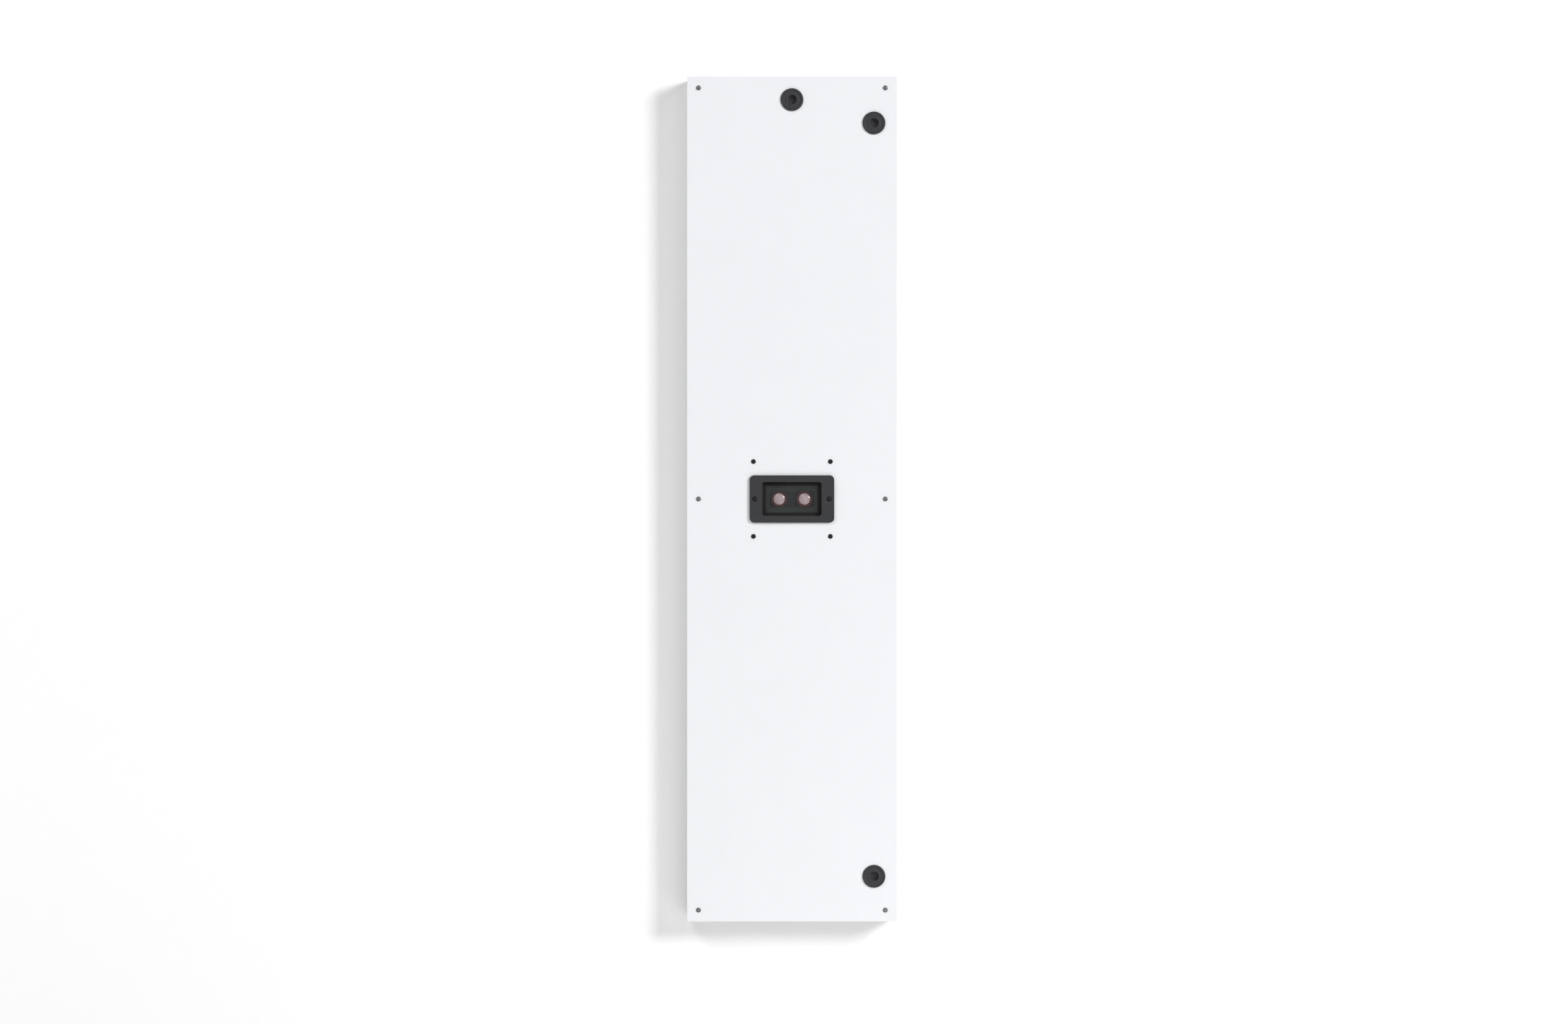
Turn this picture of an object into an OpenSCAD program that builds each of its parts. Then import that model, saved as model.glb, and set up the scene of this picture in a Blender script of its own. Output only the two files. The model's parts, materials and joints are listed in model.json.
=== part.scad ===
// A wall-hung security gate panel for a shop doorway.
// A white front plate closes a folded steel tray. The tray holds four patch antennas on two reflectors,
// a reader board, a network board and a power board, and the plate carries a twin-lens people sensor.
// The back of the tray lies on the wall at y = 0, the front faces -Y and +Z is up.
// Depths are distances from the wall, so a piece between depths 20 and 22 lies between y = -20 and y = -22.

/* [Panel] */
// Width of the front plate
panel_w = 248; // [206:1:300]
// Height of the front plate
panel_h = 1000; // [960:5:1300]
// Depth from the wall to the face of the front plate
case_d = 50; // [50:1:75]
// Thickness of the front plate
plate_t = 3; // [2:0.5:4]
// Thickness of the sheet that the tray is folded from
tray_t = 1.5; // [1:0.25:2]
// How far the plate stands past the tray on every side
plate_overhang = 1; // [0:0.5:3]
// Width of the lip that the tray turns in behind the plate
lip_w = 8; // [6:0.5:8]
// Thickness of the seal between the lip and the plate
seal_t = 1; // [0.5:0.25:2]
// Width of the seal
seal_w = 7; // [4:0.5:7]
// Diameter of the four holes for the wall screws
wall_hole_d = 6.5; // [5:0.5:9]
// Distance of the wall holes from the plate's long edges
wall_hole_inset_x = 29; // [26:1:36]
// Distance of the wall holes from the plate's ends
wall_hole_inset_z = 35; // [32:1:40]

/* [Cover screws] */
// Distance of the cover screws from the plate's edges
screw_inset = 13.5; // [13.5:0.5:16]
// Thread diameter of the cover screws and of every other case screw
thread_d = 3; // [2.5:0.5:3.5]
// Diameter of the pan heads
head_d = 5.6; // [5:0.1:7]
// Height of the pan heads
head_h = 1.8; // [1.2:0.1:2.4]
// Diameter of the pillars that the cover screws turn into
pillar_d = 8; // [6:0.5:8]

/* [Cable grommets] */
// Diameter of the hole that a grommet snaps into
grommet_hole_d = 20; // [16:1:22]
// Diameter of the grommet's front flange
grommet_flange_d = 27; // [24:1:32]
// Height of the front flange above the plate
grommet_flange_t = 2.4; // [2:0.2:4]
// Diameter of the cable hole
grommet_bore_d = 11; // [8:0.5:12]
// Thickness of the membrane that closes the cable hole until a cable pierces it
membrane_t = 1; // [0.6:0.1:1.5]
// Distance of the top centre grommet from the plate's upper end
top_grommet_drop = 27.4; // [24:0.2:34]
// Distance of the two side grommets from the plate's right edge
side_grommet_inset = 27; // [26:0.5:36]
// Distance of the upper side grommet from the plate's upper end
upper_grommet_drop = 55; // [50:0.5:70]
// Distance of the lower side grommet from the plate's lower end
lower_grommet_rise = 53.5; // [50:0.5:70]

/* [People sensor] */
// Width of the bezel's flange
bezel_w = 100; // [98:1:110]
// Height of the bezel's flange
bezel_h = 56; // [52:1:64]
// Thickness of the bezel's flange
bezel_t = 3; // [2.5:0.25:4]
// Corner radius of the bezel's flange
bezel_r = 5.5; // [3:0.5:8]
// Width of the recess in the bezel
recess_w = 70; // [68:1:72]
// Height of the recess in the bezel
recess_h = 40; // [38:1:44]
// Depth of the recess from the bezel's face to the ledge round the window
recess_d = 8; // [6.5:0.5:9]
// Width of the ledge round the window at each side
ledge_side = 4; // [2:0.5:5]
// Width of the ledge round the window at top and bottom
ledge_end = 3.5; // [2:0.5:5]
// Distance between the two screws through the bezel
bezel_screw_span = 88; // [87:0.5:89]
// Distance across between the screws of the sensor carrier
carrier_span_x = 91; // [86:0.5:96]
// Distance up between the screws of the sensor carrier
carrier_span_z = 88.5; // [80:0.5:96]
// Distance between the two lenses
lens_spacing = 30; // [26:0.5:34]
// Diameter of the front lens element
lens_d = 13.5; // [12:0.5:14]
// Depth of the sensor's housing behind the window
shell_d = 16.5; // [16.5:0.5:20]

/* [Antennas] */
// Side of a square antenna patch
patch_size = 160; // [140:1:164]
// Thickness of the reflectors and of the patches
sheet_t = 1.5; // [1:0.25:2]
// Air space between a reflector and its patches
patch_gap = 10; // [8:0.5:12]
// Height of the reflectors above the wall
reflector_level = 20; // [20:0.5:22]
// Diameter of the antenna leads
coax_d = 3; // [2:0.5:4]

/* [Boards] */
// Thickness of a circuit board
board_t = 1.6; // [1:0.2:2]
// Height of the boards' backs above the wall
board_level = 9.5; // [8:0.5:10]
// Width of the reader board
reader_w = 150; // [140:1:160]
// Height of the reader board
reader_h = 88; // [84:1:92]
// Diameter of the power, network and sensor leads
lead_d = 4; // [3:0.5:4]

/* [Switches] */
// Travel left in the tamper plunger while the cover holds it in
tamper_travel = 1; // [0.5:0.1:1.2]
// Travel of the reset button
reset_travel = 0.3; // [0.2:0.05:0.4]

/* [Hidden] */
$fn = 48;

// Clearances: round a screw, between a screw and its thread, and round a piece that slides or drops in
hole_clear = 0.2;
thread_clear = 0.05;
slide_clear = 0.3;
cut = 1;

// Depths of the case, from the wall outwards
plate_front = case_d;
plate_back = plate_front - plate_t;
lip_front = plate_back - seal_t;
lip_back = lip_front - tray_t;
tray_w = panel_w - 2 * plate_overhang;
tray_h = panel_h - 2 * plate_overhang;
seal_edge = 0.5;
seal_outer_w = tray_w - 2 * seal_edge;
seal_outer_h = tray_h - 2 * seal_edge;
screw_hole_d = thread_d + 2 * hole_clear;
thread_hole_d = thread_d + 2 * thread_clear;

// Screw engagement in the cover pillars, and the hexagon socket in every pan head
cover_grip = 9;
socket_d = 2.3;
socket_depth = 1;
head_edge_h = head_h * 0.6;
head_bevel = 0.5;

// Places on the plate, as [x, z]
cover_points = [for (x = [-1, 1], z = [-1, 0, 1])
    [x * (panel_w / 2 - screw_inset), z * (panel_h / 2 - screw_inset)]];
wall_points = [for (x = [-1, 1], z = [-1, 1])
    [x * (panel_w / 2 - wall_hole_inset_x), z * (panel_h / 2 - wall_hole_inset_z)]];
top_centre = [0, panel_h / 2 - top_grommet_drop];
top_right = [panel_w / 2 - side_grommet_inset, panel_h / 2 - upper_grommet_drop];
bottom_right = [panel_w / 2 - side_grommet_inset, lower_grommet_rise - panel_h / 2];
carrier_points = [for (x = [-1, 1], z = [-1, 1]) [x * carrier_span_x / 2, z * carrier_span_z / 2]];
bezel_points = [for (x = [-1, 1]) [x * bezel_screw_span / 2, 0]];

// Grommet details
grommet_rear_d = grommet_hole_d + 3;
grommet_rear_t = 2;
grommet_rim = 2.4;
grommet_groove = 0.8;
grommet_bevel = 1;
groove_slope = 0.6;
collar_w = 1.8;
collar_drop = 0.2;

// Depths of the people sensor, from the bezel's face inwards
bezel_seal_t = 0.5;
bezel_seat = plate_front + bezel_seal_t;
bezel_front = bezel_seat + bezel_t;
ledge_front = bezel_front - recess_d;
ledge_t = 1.5;
ledge_back = ledge_front - ledge_t;
pane_t = 3;
shell_front = ledge_back - pane_t;
shell_back = shell_front - shell_d;
shell_wall = 2;
shell_frame_t = 1.5;
sensor_back_t = 1.5;
tube_wall = 3;
tube_w = recess_w + 2 * tube_wall;
tube_h = recess_h + 2 * tube_wall;
view_w = recess_w - 2 * ledge_side;
view_h = recess_h - 2 * ledge_end;
pane_lap = 2;
pane_w = view_w + 2 * pane_lap;
pane_h = view_h + 2 * pane_lap;
recess_r = 3;
tube_r = 3.5;
tube_clear = 0.5;
bezel_sink = 1.8;
bezel_grip = 10;

// Inside of the people sensor
sensor_board_gap = 1.9;
sensor_board_back = shell_back + sensor_board_gap;
sensor_board_front = sensor_board_back + board_t;
sensor_board_edge = 1;
sensor_board_w = tube_w - 2 * shell_wall - 2 * sensor_board_edge;
sensor_board_h = tube_h - 2 * shell_wall - 2 * sensor_board_edge;
small_thread_d = 2;
small_head_d = 3.6;
small_head_h = 1.2;
small_boss_d = 5;
lens_thread_d = 12;
lens_thread_wall = 1.5;
chip_clear = 1;
holder_margin_x = 5;
holder_margin_z = 3;
holder_r = 2;
barrel_rim = 3.2;
lens_edge_t = 0.6;
lens_facets = 240;
barrel_head_d = lens_d + 2 * barrel_rim;
lens_t = 2;
lens_proud = 0.3;
lens_front = shell_front - shell_frame_t - slide_clear;
lens_seat = lens_front - lens_t;
barrel_front = lens_front - lens_proud;
barrel_head_t = 3;
lens_holder_t = 6;
chip_size = 8;
chip_t = 1.2;
sensor_screw_inset = 3.5;
sensor_screw_points = [for (x = [-1, 1], z = [-1, 1])
    [x * (tube_w / 2 - shell_wall - sensor_screw_inset), z * (tube_h / 2 - shell_wall - sensor_screw_inset)]];
small_screw_grip = 4;
small_hole_depth = 5;
frame_lap = 1;
ear_h = 14;
ear_end = 5;
ear_drop = 7;
ear_root = 1;
lead_hole_clear = 0.5;
sensor_lead_x = 10;
sensor_lead_depth = sensor_board_front + 1;

// Sensor carrier, a folded frame behind the plate
carrier_t = 1.5;
carrier_margin = 7;
carrier_fold = 8;
carrier_fold_end = 3;
carrier_r = 3;
screw_end = 1;
carrier_w = carrier_span_x + 2 * carrier_margin;
carrier_h = carrier_span_z + 2 * carrier_margin;
nut_d = 6.35;
nut_h = 2.4;

// Antennas: each reflector carries two patches at the quarter points of its length
side_gap = 6.5;
reflector_w = panel_w - 2 * (screw_inset + pillar_d / 2 + side_gap);
reflector_near = 64;
end_bay = 62;
reflector_far = panel_h / 2 - end_bay;
reflector_len = reflector_far - reflector_near;
reflector_mid = (reflector_far + reflector_near) / 2;
reflector_fold = 7;
reflector_front = reflector_level + sheet_t;
reflector_screw_inset = 10;
reflector_hole_depth = 12;
reflector_grip = 8;
patch_back = reflector_front + patch_gap;
patch_front = patch_back + sheet_t;
patch_corner = 22;
patch_post_inset = 20;
patch_points = [
    [0, reflector_mid + reflector_len / 4], [0, reflector_mid - reflector_len / 4],
    [0, reflector_len / 4 - reflector_mid], [0, -reflector_mid - reflector_len / 4]
];
reflector_points = [for (x = [-1, 1], z = [-1, 1], end = [-1, 1])
    [x * (reflector_w / 2 - reflector_screw_inset),
     z * (reflector_mid + end * (reflector_len / 2 - reflector_screw_inset))]];
post_points = [for (p = patch_points, x = [-1, 1], z = [-1, 1])
    p + [x, z] * (patch_size / 2 - patch_post_inset)];
post_pin_d = 4;
post_collar_d = 8;
post_head_d = 6.4;
post_head_t = 1.3;

// Feeds: outer patches are fed left of centre and inner patches right of it,
// so that their leads run side by side
feed_x = 30;
feed_z = 35;
feed_side = [-1, 1, 1, -1];
feed_up = [-1, -1, 1, 1];
feed_points = [for (i = [0:3]) patch_points[i] + [feed_side[i] * feed_x, feed_up[i] * feed_z]];
feed_pin_d = 2;
feed_pin_sink = 4;
feed_pin_end = 1.2;
solder_t = 0.6;
feed_hole_d = feed_pin_d + 3;
feed_socket = 8;
feed_socket_t = 11;
feed_flange = 12;
coax_drop = 7;
coax_depth = reflector_level - coax_drop;
coax_reach = 60;
long_reach = 90;
sensor_reach = 24;

// Boards: centre, width and height of each
board_front = board_level + board_t;
end_board_h = 46;
end_board_z = panel_h / 2 - 32;
reader = [[0, 0], reader_w, reader_h];
network = [[10, end_board_z], 100, end_board_h];
power = [[-5, -end_board_z], 150, end_board_h];
boards = [reader, network, power];
board_screw_inset = 4;
board_pillar_d = 6;
board_hole_depth = 7;
board_grip = 5;
shield_size = [70, 50, 6];
shield_wall = 0.6;
shield_x = -20;
// Chips on the reader board: [x, z, width, height, thickness]
reader_chip_rows = [[48, 8, 20, 20, 2.2], [36, -20, 12, 9, 1.4], [58, -20, 12, 9, 1.4]];
board_points = [for (b = boards, x = [-1, 1], z = [-1, 1])
    b[0] + [x * (b[1] / 2 - board_screw_inset), z * (b[2] / 2 - board_screw_inset)]];

// Lead sockets on the boards: [x, edge of the board, way that it faces]
edge_socket = [7, 9, 6];
edge_overhang = 2;
power_lead_x = -60;
network_lead_x = 50;
edge_sockets = [
    [-feed_x, reader_h / 2, 1], [feed_x, reader_h / 2, 1], [network_lead_x, reader_h / 2, 1],
    [feed_x, -reader_h / 2, -1], [-feed_x, -reader_h / 2, -1], [power_lead_x, -reader_h / 2, -1],
    [sensor_lead_x, -reader_h / 2, -1],
    [network_lead_x - 8, end_board_z - end_board_h / 2, -1],
    [power_lead_x, end_board_h / 2 - end_board_z, 1]
];
socket_depth_mid = board_front + edge_socket[2] / 2;
lead_rings = 11;
lead_sides = 8;

// Pieces on the end boards
jack_size = [16, 14, 18];
jack_hole = [11.8, 8.5, 14];
terminal_size = [25, 11, 11];
terminal_pitch = 5;
terminal_hole_d = 3.6;
terminal_hole_depth = 4;
jack_hole_drop = 1;
reset_point = [-27, end_board_z - 10];
reset_body = 7;
reset_body_t = 4;
reset_button_d = 3.6;
reset_button_t = 3.8;
reset_floor = 1;
link_point = [32, end_board_z + 14];
power_terminal_point = [45, 11 - end_board_z];
power_row_z = -end_board_z - 3;
capacitor_x = [-55, -38];
capacitor_d = 12.5;
capacitor_len = 18;
choke_x = -14;
choke_d = 18;
choke_hole_d = 8;
choke_t = 8;
regulator_x = 12;
regulator_back = [20, 3];
regulator_fin = [1.4, 8];
regulator_h = 16;
fin_pitch = 4;

// Tamper switch: a tall moulded column whose plunger the plate holds in
tamper_point = [-68, end_board_z + 4];
tamper_base = [28, 15, 2.5];
tamper_column = 13;
tamper_top = plate_back - 7;
tamper_plunger_d = 4.6;
tamper_plunger_len = 17;
tamper_front = plate_back - slide_clear;

// Earth stud beside the power board
earth_point = [wall_hole_inset_x - panel_w / 2, 60 - panel_h / 2];
earth_d = 5;
earth_len = 13;
earth_nut_d = 9.2;
earth_nut_level = 3;
earth_nut_t = 4;

// ---- helpers ----

// A flat outline in x and z, made solid between two depths from the wall
module layer(from, to) {
    translate([0, -from, 0])
        rotate([90, 0, 0])
            linear_extrude(to - from) children();
}

// Places its children at [x, z]
module at(p) {
    translate([p[0], 0, p[1]]) children();
}

// A rectangle centred on the axis
module sheet(w, h) {
    square([w, h], center = true);
}

// A rectangle with round corners, as straight pieces and true circles
module rounded(w, h, r) {
    square([w - 2 * r, h], center = true);
    square([w, h - 2 * r], center = true);
    for (x = [-1, 1], z = [-1, 1])
        translate([x * (w / 2 - r), z * (h / 2 - r)]) circle(r);
}

// One circle at each of the given places
module dots(points, d) {
    for (p = points) translate(p) circle(d = d);
}

// A pan-head screw from its tip to the face that its head lies on
module pan_screw(tip, seat) {
    difference() {
        union() {
            layer(tip, seat) circle(d = thread_d);
            layer(seat, seat + head_edge_h) circle(d = head_d);
            layer(seat + head_edge_h, seat + head_h) circle(d = head_d - 2 * head_bevel);
        }
        layer(seat + head_h - socket_depth, seat + head_h + cut) circle(d = socket_d, $fn = 6);
    }
}

// A round pillar with a threaded hole in its front end
module pillar(d, from, to, hole_depth) {
    difference() {
        layer(from, to) circle(d = d);
        layer(to - hole_depth, to + cut) circle(d = thread_hole_d);
    }
}

// ---- leads ----

function unit(v) = v / norm(v);
function bezier(a, b, c, d, t) =
    a * (1 - t) ^ 3 + 3 * b * t * (1 - t) ^ 2 + 3 * c * t ^ 2 * (1 - t) + d * t ^ 3;
function bezier_way(a, b, c, d, t) =
    unit((b - a) * (1 - t) ^ 2 + 2 * (c - b) * t * (1 - t) + (d - c) * t ^ 2);

// A round lead from one face to another: it leaves along start_way and arrives along end_way
module lead(start, start_way, end, end_way, reach, d) {
    b = start + reach * start_way;
    c = end - reach * end_way;
    points = [for (i = [0:lead_rings - 1])
        let (
            t = i / (lead_rings - 1),
            p = bezier(start, b, c, end, t),
            way = bezier_way(start, b, c, end, t),
            side = unit(cross(way, [1, 0, 0])),
            over = cross(way, side)
        )
        for (k = [0:lead_sides - 1])
            let (a = 360 * k / lead_sides)
            p + d / 2 * (cos(a) * side + sin(a) * over)];
    last = (lead_rings - 1) * lead_sides;
    skin = [for (i = [0:lead_rings - 2], k = [0:lead_sides - 1])
        let (n = (k + 1) % lead_sides, r = i * lead_sides)
        [r + k, r + lead_sides + k, r + lead_sides + n, r + n]];
    caps = [
        [for (k = [0:lead_sides - 1]) k],
        [for (k = [0:lead_sides - 1]) last + lead_sides - 1 - k]
    ];
    polyhedron(points, concat(skin, caps));
}

// The face of an edge socket, as a point in space
function socket_face(s) = [s[0], -socket_depth_mid, s[1] + s[2] * edge_overhang];

// ---- case ----

module rear_tray() color("whitesmoke") difference() {
    layer(0, lip_front) sheet(tray_w, tray_h);
    layer(tray_t, lip_back) sheet(tray_w - 2 * tray_t, tray_h - 2 * tray_t);
    layer(lip_back - cut, lip_front + cut) sheet(tray_w - 2 * lip_w, tray_h - 2 * lip_w);
    layer(-cut, tray_t + cut) dots(wall_points, wall_hole_d);
}

module front_plate() color("white") layer(plate_back, plate_front) difference() {
    sheet(panel_w, panel_h);
    dots(cover_points, screw_hole_d);
    dots(carrier_points, screw_hole_d);
    dots(bezel_points, screw_hole_d);
    dots([top_centre, top_right, bottom_right], grommet_hole_d + 2 * hole_clear);
    rounded(tube_w + 2 * tube_clear, tube_h + 2 * tube_clear, tube_r + tube_clear);
}

module plate_seal() color("dimgray") layer(lip_front, plate_back) difference() {
    sheet(seal_outer_w, seal_outer_h);
    sheet(seal_outer_w - 2 * seal_w, seal_outer_h - 2 * seal_w);
}

module cover_screws() color("silver")
    for (p = cover_points) at(p) pan_screw(plate_back - cover_grip, plate_front);

module cover_pillars() color("silver")
    for (p = cover_points) at(p) pillar(pillar_d, tray_t, plate_back, cover_grip + 2);

// ---- grommets ----

// A rubber grommet: rear flange, neck, front flange with a raised rim, and a raised collar
// round the cable hole, which a thin membrane closes at the rear
module grommet() {
    r = grommet_flange_d / 2;
    bore_r = grommet_bore_d / 2;
    rear = -plate_t - grommet_rear_t;
    top = grommet_flange_t;
    translate([0, -plate_front, 0]) rotate([90, 0, 0]) rotate_extrude() polygon([
        [0, rear], [grommet_rear_d / 2, rear], [grommet_rear_d / 2, -plate_t],
        [grommet_hole_d / 2, -plate_t], [grommet_hole_d / 2, 0], [r, 0], [r, top - grommet_bevel],
        [r - grommet_bevel, top],
        [r - grommet_rim, top], [r - grommet_rim - groove_slope, top - grommet_groove],
        [bore_r + collar_w + groove_slope, top - grommet_groove],
        [bore_r + collar_w, top - collar_drop], [bore_r, top - collar_drop],
        [bore_r, rear + membrane_t], [0, rear + membrane_t]
    ]);
}

module grommet_top_centre() color("#2b2c2f") at(top_centre) grommet();
module grommet_top_right() color("#2b2c2f") at(top_right) grommet();
module grommet_bottom_right() color("#2b2c2f") at(bottom_right) grommet();

// ---- people sensor ----

module sensor_bezel() color("#36373a") difference() {
    union() {
        layer(bezel_seat, bezel_front) rounded(bezel_w, bezel_h, bezel_r);
        layer(shell_front, bezel_seat) rounded(tube_w, tube_h, tube_r);
    }
    layer(ledge_front, bezel_front + cut) rounded(recess_w, recess_h, recess_r);
    layer(ledge_back - cut, ledge_front + cut) sheet(view_w, view_h);
    layer(shell_front - cut, ledge_back) sheet(pane_w + 2 * hole_clear, pane_h + 2 * hole_clear);
    layer(bezel_seat - cut, bezel_front + cut) dots(bezel_points, screw_hole_d);
    layer(bezel_front - bezel_sink, bezel_front + cut) dots(bezel_points, head_d + 2 * hole_clear);
}

module bezel_seal() color("#1c1c1e") layer(plate_front, bezel_seat) difference() {
    rounded(bezel_w - 2 * seal_edge, bezel_h - 2 * seal_edge, bezel_r - seal_edge);
    rounded(tube_w + 2 * tube_clear, tube_h + 2 * tube_clear, tube_r + tube_clear);
    dots(bezel_points, screw_hole_d);
}

module bezel_screws() color("#1a1a1c")
    for (p = bezel_points)
        at(p) pan_screw(plate_back - bezel_grip, bezel_front - bezel_sink);

module sensor_window() color("#2f3a3a") layer(shell_front, ledge_back) sheet(pane_w, pane_h);

// The housing behind the window: an open-backed box with a front frame, corner bosses
// and two ears for the bezel screws
module sensor_shell() color("#26272a") {
    ear_near = tube_w / 2 + tube_clear;
    ear_far = bezel_screw_span / 2 + ear_end;
    ear_front = plate_back - carrier_t;
    ear_back = shell_front - ear_drop;
    difference() {
        union() {
            difference() {
                layer(shell_back, shell_front) rounded(tube_w, tube_h, tube_r);
                layer(shell_back - cut, shell_front - shell_frame_t)
                    sheet(tube_w - 2 * shell_wall, tube_h - 2 * shell_wall);
                layer(shell_front - shell_frame_t - cut, shell_front + cut)
                    sheet(view_w - 2 * frame_lap, view_h - 2 * frame_lap);
            }
            layer(sensor_board_front, shell_front - shell_frame_t) dots(sensor_screw_points, small_boss_d);
            for (x = [-1, 1]) {
                layer(ear_back, ear_front) translate([x * (ear_near + ear_far) / 2, 0])
                    sheet(ear_far - ear_near, ear_h);
                layer(ear_back, shell_front) translate([x * (tube_w / 2 - ear_root + ear_far) / 2, 0])
                    sheet(ear_far - tube_w / 2 + ear_root, ear_h);
            }
        }
        layer(ear_back - cut, ear_front + cut) dots(bezel_points, thread_hole_d);
        layer(sensor_board_front - cut, sensor_board_front + small_hole_depth)
            dots(sensor_screw_points, small_thread_d + 2 * thread_clear);
        translate([sensor_lead_x, -sensor_lead_depth - lead_d / 2, 0])
            rotate([180, 0, 0]) cylinder(d = lead_d + 2 * lead_hole_clear, h = tube_h);
    }
}

module lens_holder() color("#1b1c1e") layer(sensor_board_front, sensor_board_front + lens_holder_t)
    difference() {
        rounded(
            lens_spacing + lens_thread_d + 2 * holder_margin_x,
            lens_thread_d + 2 * holder_margin_z,
            holder_r
        );
        dots([[-lens_spacing / 2, 0], [lens_spacing / 2, 0]], lens_thread_d + 2 * thread_clear);
    }

// A lens barrel: threaded tube, wide head and the seat of the front element
module lens_barrel() difference() {
    union() {
        layer(sensor_board_front + chip_t + chip_clear, barrel_front - barrel_head_t)
            circle(d = lens_thread_d);
        layer(barrel_front - barrel_head_t, barrel_front) circle(d = barrel_head_d);
    }
    layer(lens_seat, barrel_front + cut) circle(d = lens_d + 2 * thread_clear);
    layer(sensor_board_front, lens_seat + cut) circle(d = lens_thread_d - 2 * lens_thread_wall);
}

module lens_barrel_left() color("#101012") at([-lens_spacing / 2, 0]) lens_barrel();
module lens_barrel_right() color("#101012") at([lens_spacing / 2, 0]) lens_barrel();

// A plano-convex front element
module lens() {
    dome = lens_front - lens_seat - lens_edge_t;
    sphere_r = (lens_d ^ 2 / 4 + dome ^ 2) / (2 * dome);
    intersection() {
        layer(lens_seat, lens_front + cut) circle(d = lens_d);
        translate([0, sphere_r - lens_front, 0]) sphere(sphere_r, $fn = lens_facets);
    }
}

module lens_left() color("#7a5a58") at([-lens_spacing / 2, 0]) lens();
module lens_right() color("#7a5a58") at([lens_spacing / 2, 0]) lens();

module image_chips() color("#222222")
    for (x = [-1, 1])
        at([x * lens_spacing / 2, 0])
            layer(sensor_board_front, sensor_board_front + chip_t) sheet(chip_size, chip_size);

module sensor_board() color("darkgreen") layer(sensor_board_back, sensor_board_front) difference() {
    sheet(sensor_board_w, sensor_board_h);
    dots(sensor_screw_points, small_thread_d + 2 * hole_clear);
}

module sensor_back() color("#26272a") difference() {
    union() {
        layer(shell_back - sensor_back_t, shell_back) rounded(tube_w, tube_h, tube_r);
        layer(shell_back, sensor_board_back) dots(sensor_screw_points, small_boss_d);
    }
    layer(shell_back - sensor_back_t - cut, sensor_board_back + cut)
        dots(sensor_screw_points, small_thread_d + 2 * hole_clear);
}

module sensor_back_screws() color("silver")
    for (p = sensor_screw_points) at(p) {
        seat = shell_back - sensor_back_t;
        layer(seat, sensor_board_front + small_screw_grip) circle(d = small_thread_d);
        layer(seat - small_head_h, seat) circle(d = small_head_d);
    }

module sensor_carrier() color("gainsboro") {
    layer(plate_back - carrier_t, plate_back) difference() {
        rounded(carrier_w, carrier_h, carrier_r);
        rounded(tube_w + 4 * tube_clear, tube_h + 4 * tube_clear, tube_r);
        dots(carrier_points, screw_hole_d);
        dots(bezel_points, screw_hole_d);
    }
    for (z = [-1, 1])
        at([0, z * (carrier_h - carrier_t) / 2])
            layer(plate_back - carrier_fold, plate_back) sheet(carrier_w - 2 * carrier_fold_end, carrier_t);
}

module carrier_screws() color("#1a1a1c")
    for (p = carrier_points) at(p) pan_screw(plate_back - carrier_t - nut_h - screw_end, plate_front);

module carrier_nuts() color("silver")
    for (p = carrier_points) at(p) layer(plate_back - carrier_t - nut_h, plate_back - carrier_t)
        difference() {
            circle(d = nut_d, $fn = 6);
            circle(d = thread_hole_d);
        }

// ---- antennas ----

// One reflector with its long edges folded forward, for the upper (+1) or lower (-1) half
module reflector(half) difference() {
    at([0, half * reflector_mid]) {
        layer(reflector_level, reflector_front) sheet(reflector_w, reflector_len);
        for (x = [-1, 1])
            at([x * (reflector_w - sheet_t) / 2, 0])
                layer(reflector_level, reflector_level + reflector_fold) sheet(sheet_t, reflector_len);
    }
    layer(reflector_level - cut, reflector_front + cut) {
        dots(reflector_points, screw_hole_d);
        dots(post_points, post_pin_d + 2 * hole_clear);
        dots(feed_points, feed_hole_d);
    }
}

module upper_reflector() color("lightgray") reflector(1);
module lower_reflector() color("lightgray") reflector(-1);

module reflector_pillars() color("silver")
    for (p = reflector_points) at(p) pillar(pillar_d, tray_t, reflector_level, reflector_hole_depth);

module reflector_screws() color("silver")
    for (p = reflector_points) at(p) pan_screw(reflector_level - reflector_grip, reflector_front);

// One patch: a square with two opposite corners cut off, on four posts and one feed pin
module antenna_patch(i) {
    half = patch_size / 2;
    p = patch_points[i];
    layer(patch_back, patch_front) difference() {
        translate(p) polygon([
            [-half, -half], [half - patch_corner, -half], [half, patch_corner - half],
            [half, half], [patch_corner - half, half], [-half, half - patch_corner]
        ]);
        dots(post_points, post_pin_d + 2 * hole_clear);
        dots(feed_points, feed_pin_d + 2 * hole_clear);
    }
}

module antenna_patch_1() color("silver") antenna_patch(0);
module antenna_patch_2() color("silver") antenna_patch(1);
module antenna_patch_3() color("silver") antenna_patch(2);
module antenna_patch_4() color("silver") antenna_patch(3);

module patch_posts() color("ivory")
    for (p = post_points) at(p) {
        layer(reflector_level - post_head_t, patch_front + post_head_t) circle(d = post_pin_d);
        layer(reflector_front, patch_back) circle(d = post_collar_d);
        layer(reflector_level - post_head_t, reflector_level) circle(d = post_head_d);
        layer(patch_front, patch_front + post_head_t) circle(d = post_head_d);
    }

module antenna_sockets() color("goldenrod")
    for (p = feed_points) at(p) difference() {
        union() {
            layer(reflector_level - sheet_t, reflector_level) sheet(feed_flange, feed_flange);
            layer(reflector_level - feed_socket_t, reflector_level - sheet_t) sheet(feed_socket, feed_socket);
        }
        layer(reflector_level - feed_pin_sink - cut, reflector_level + cut)
            circle(d = feed_pin_d + 2 * thread_clear);
    }

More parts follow.
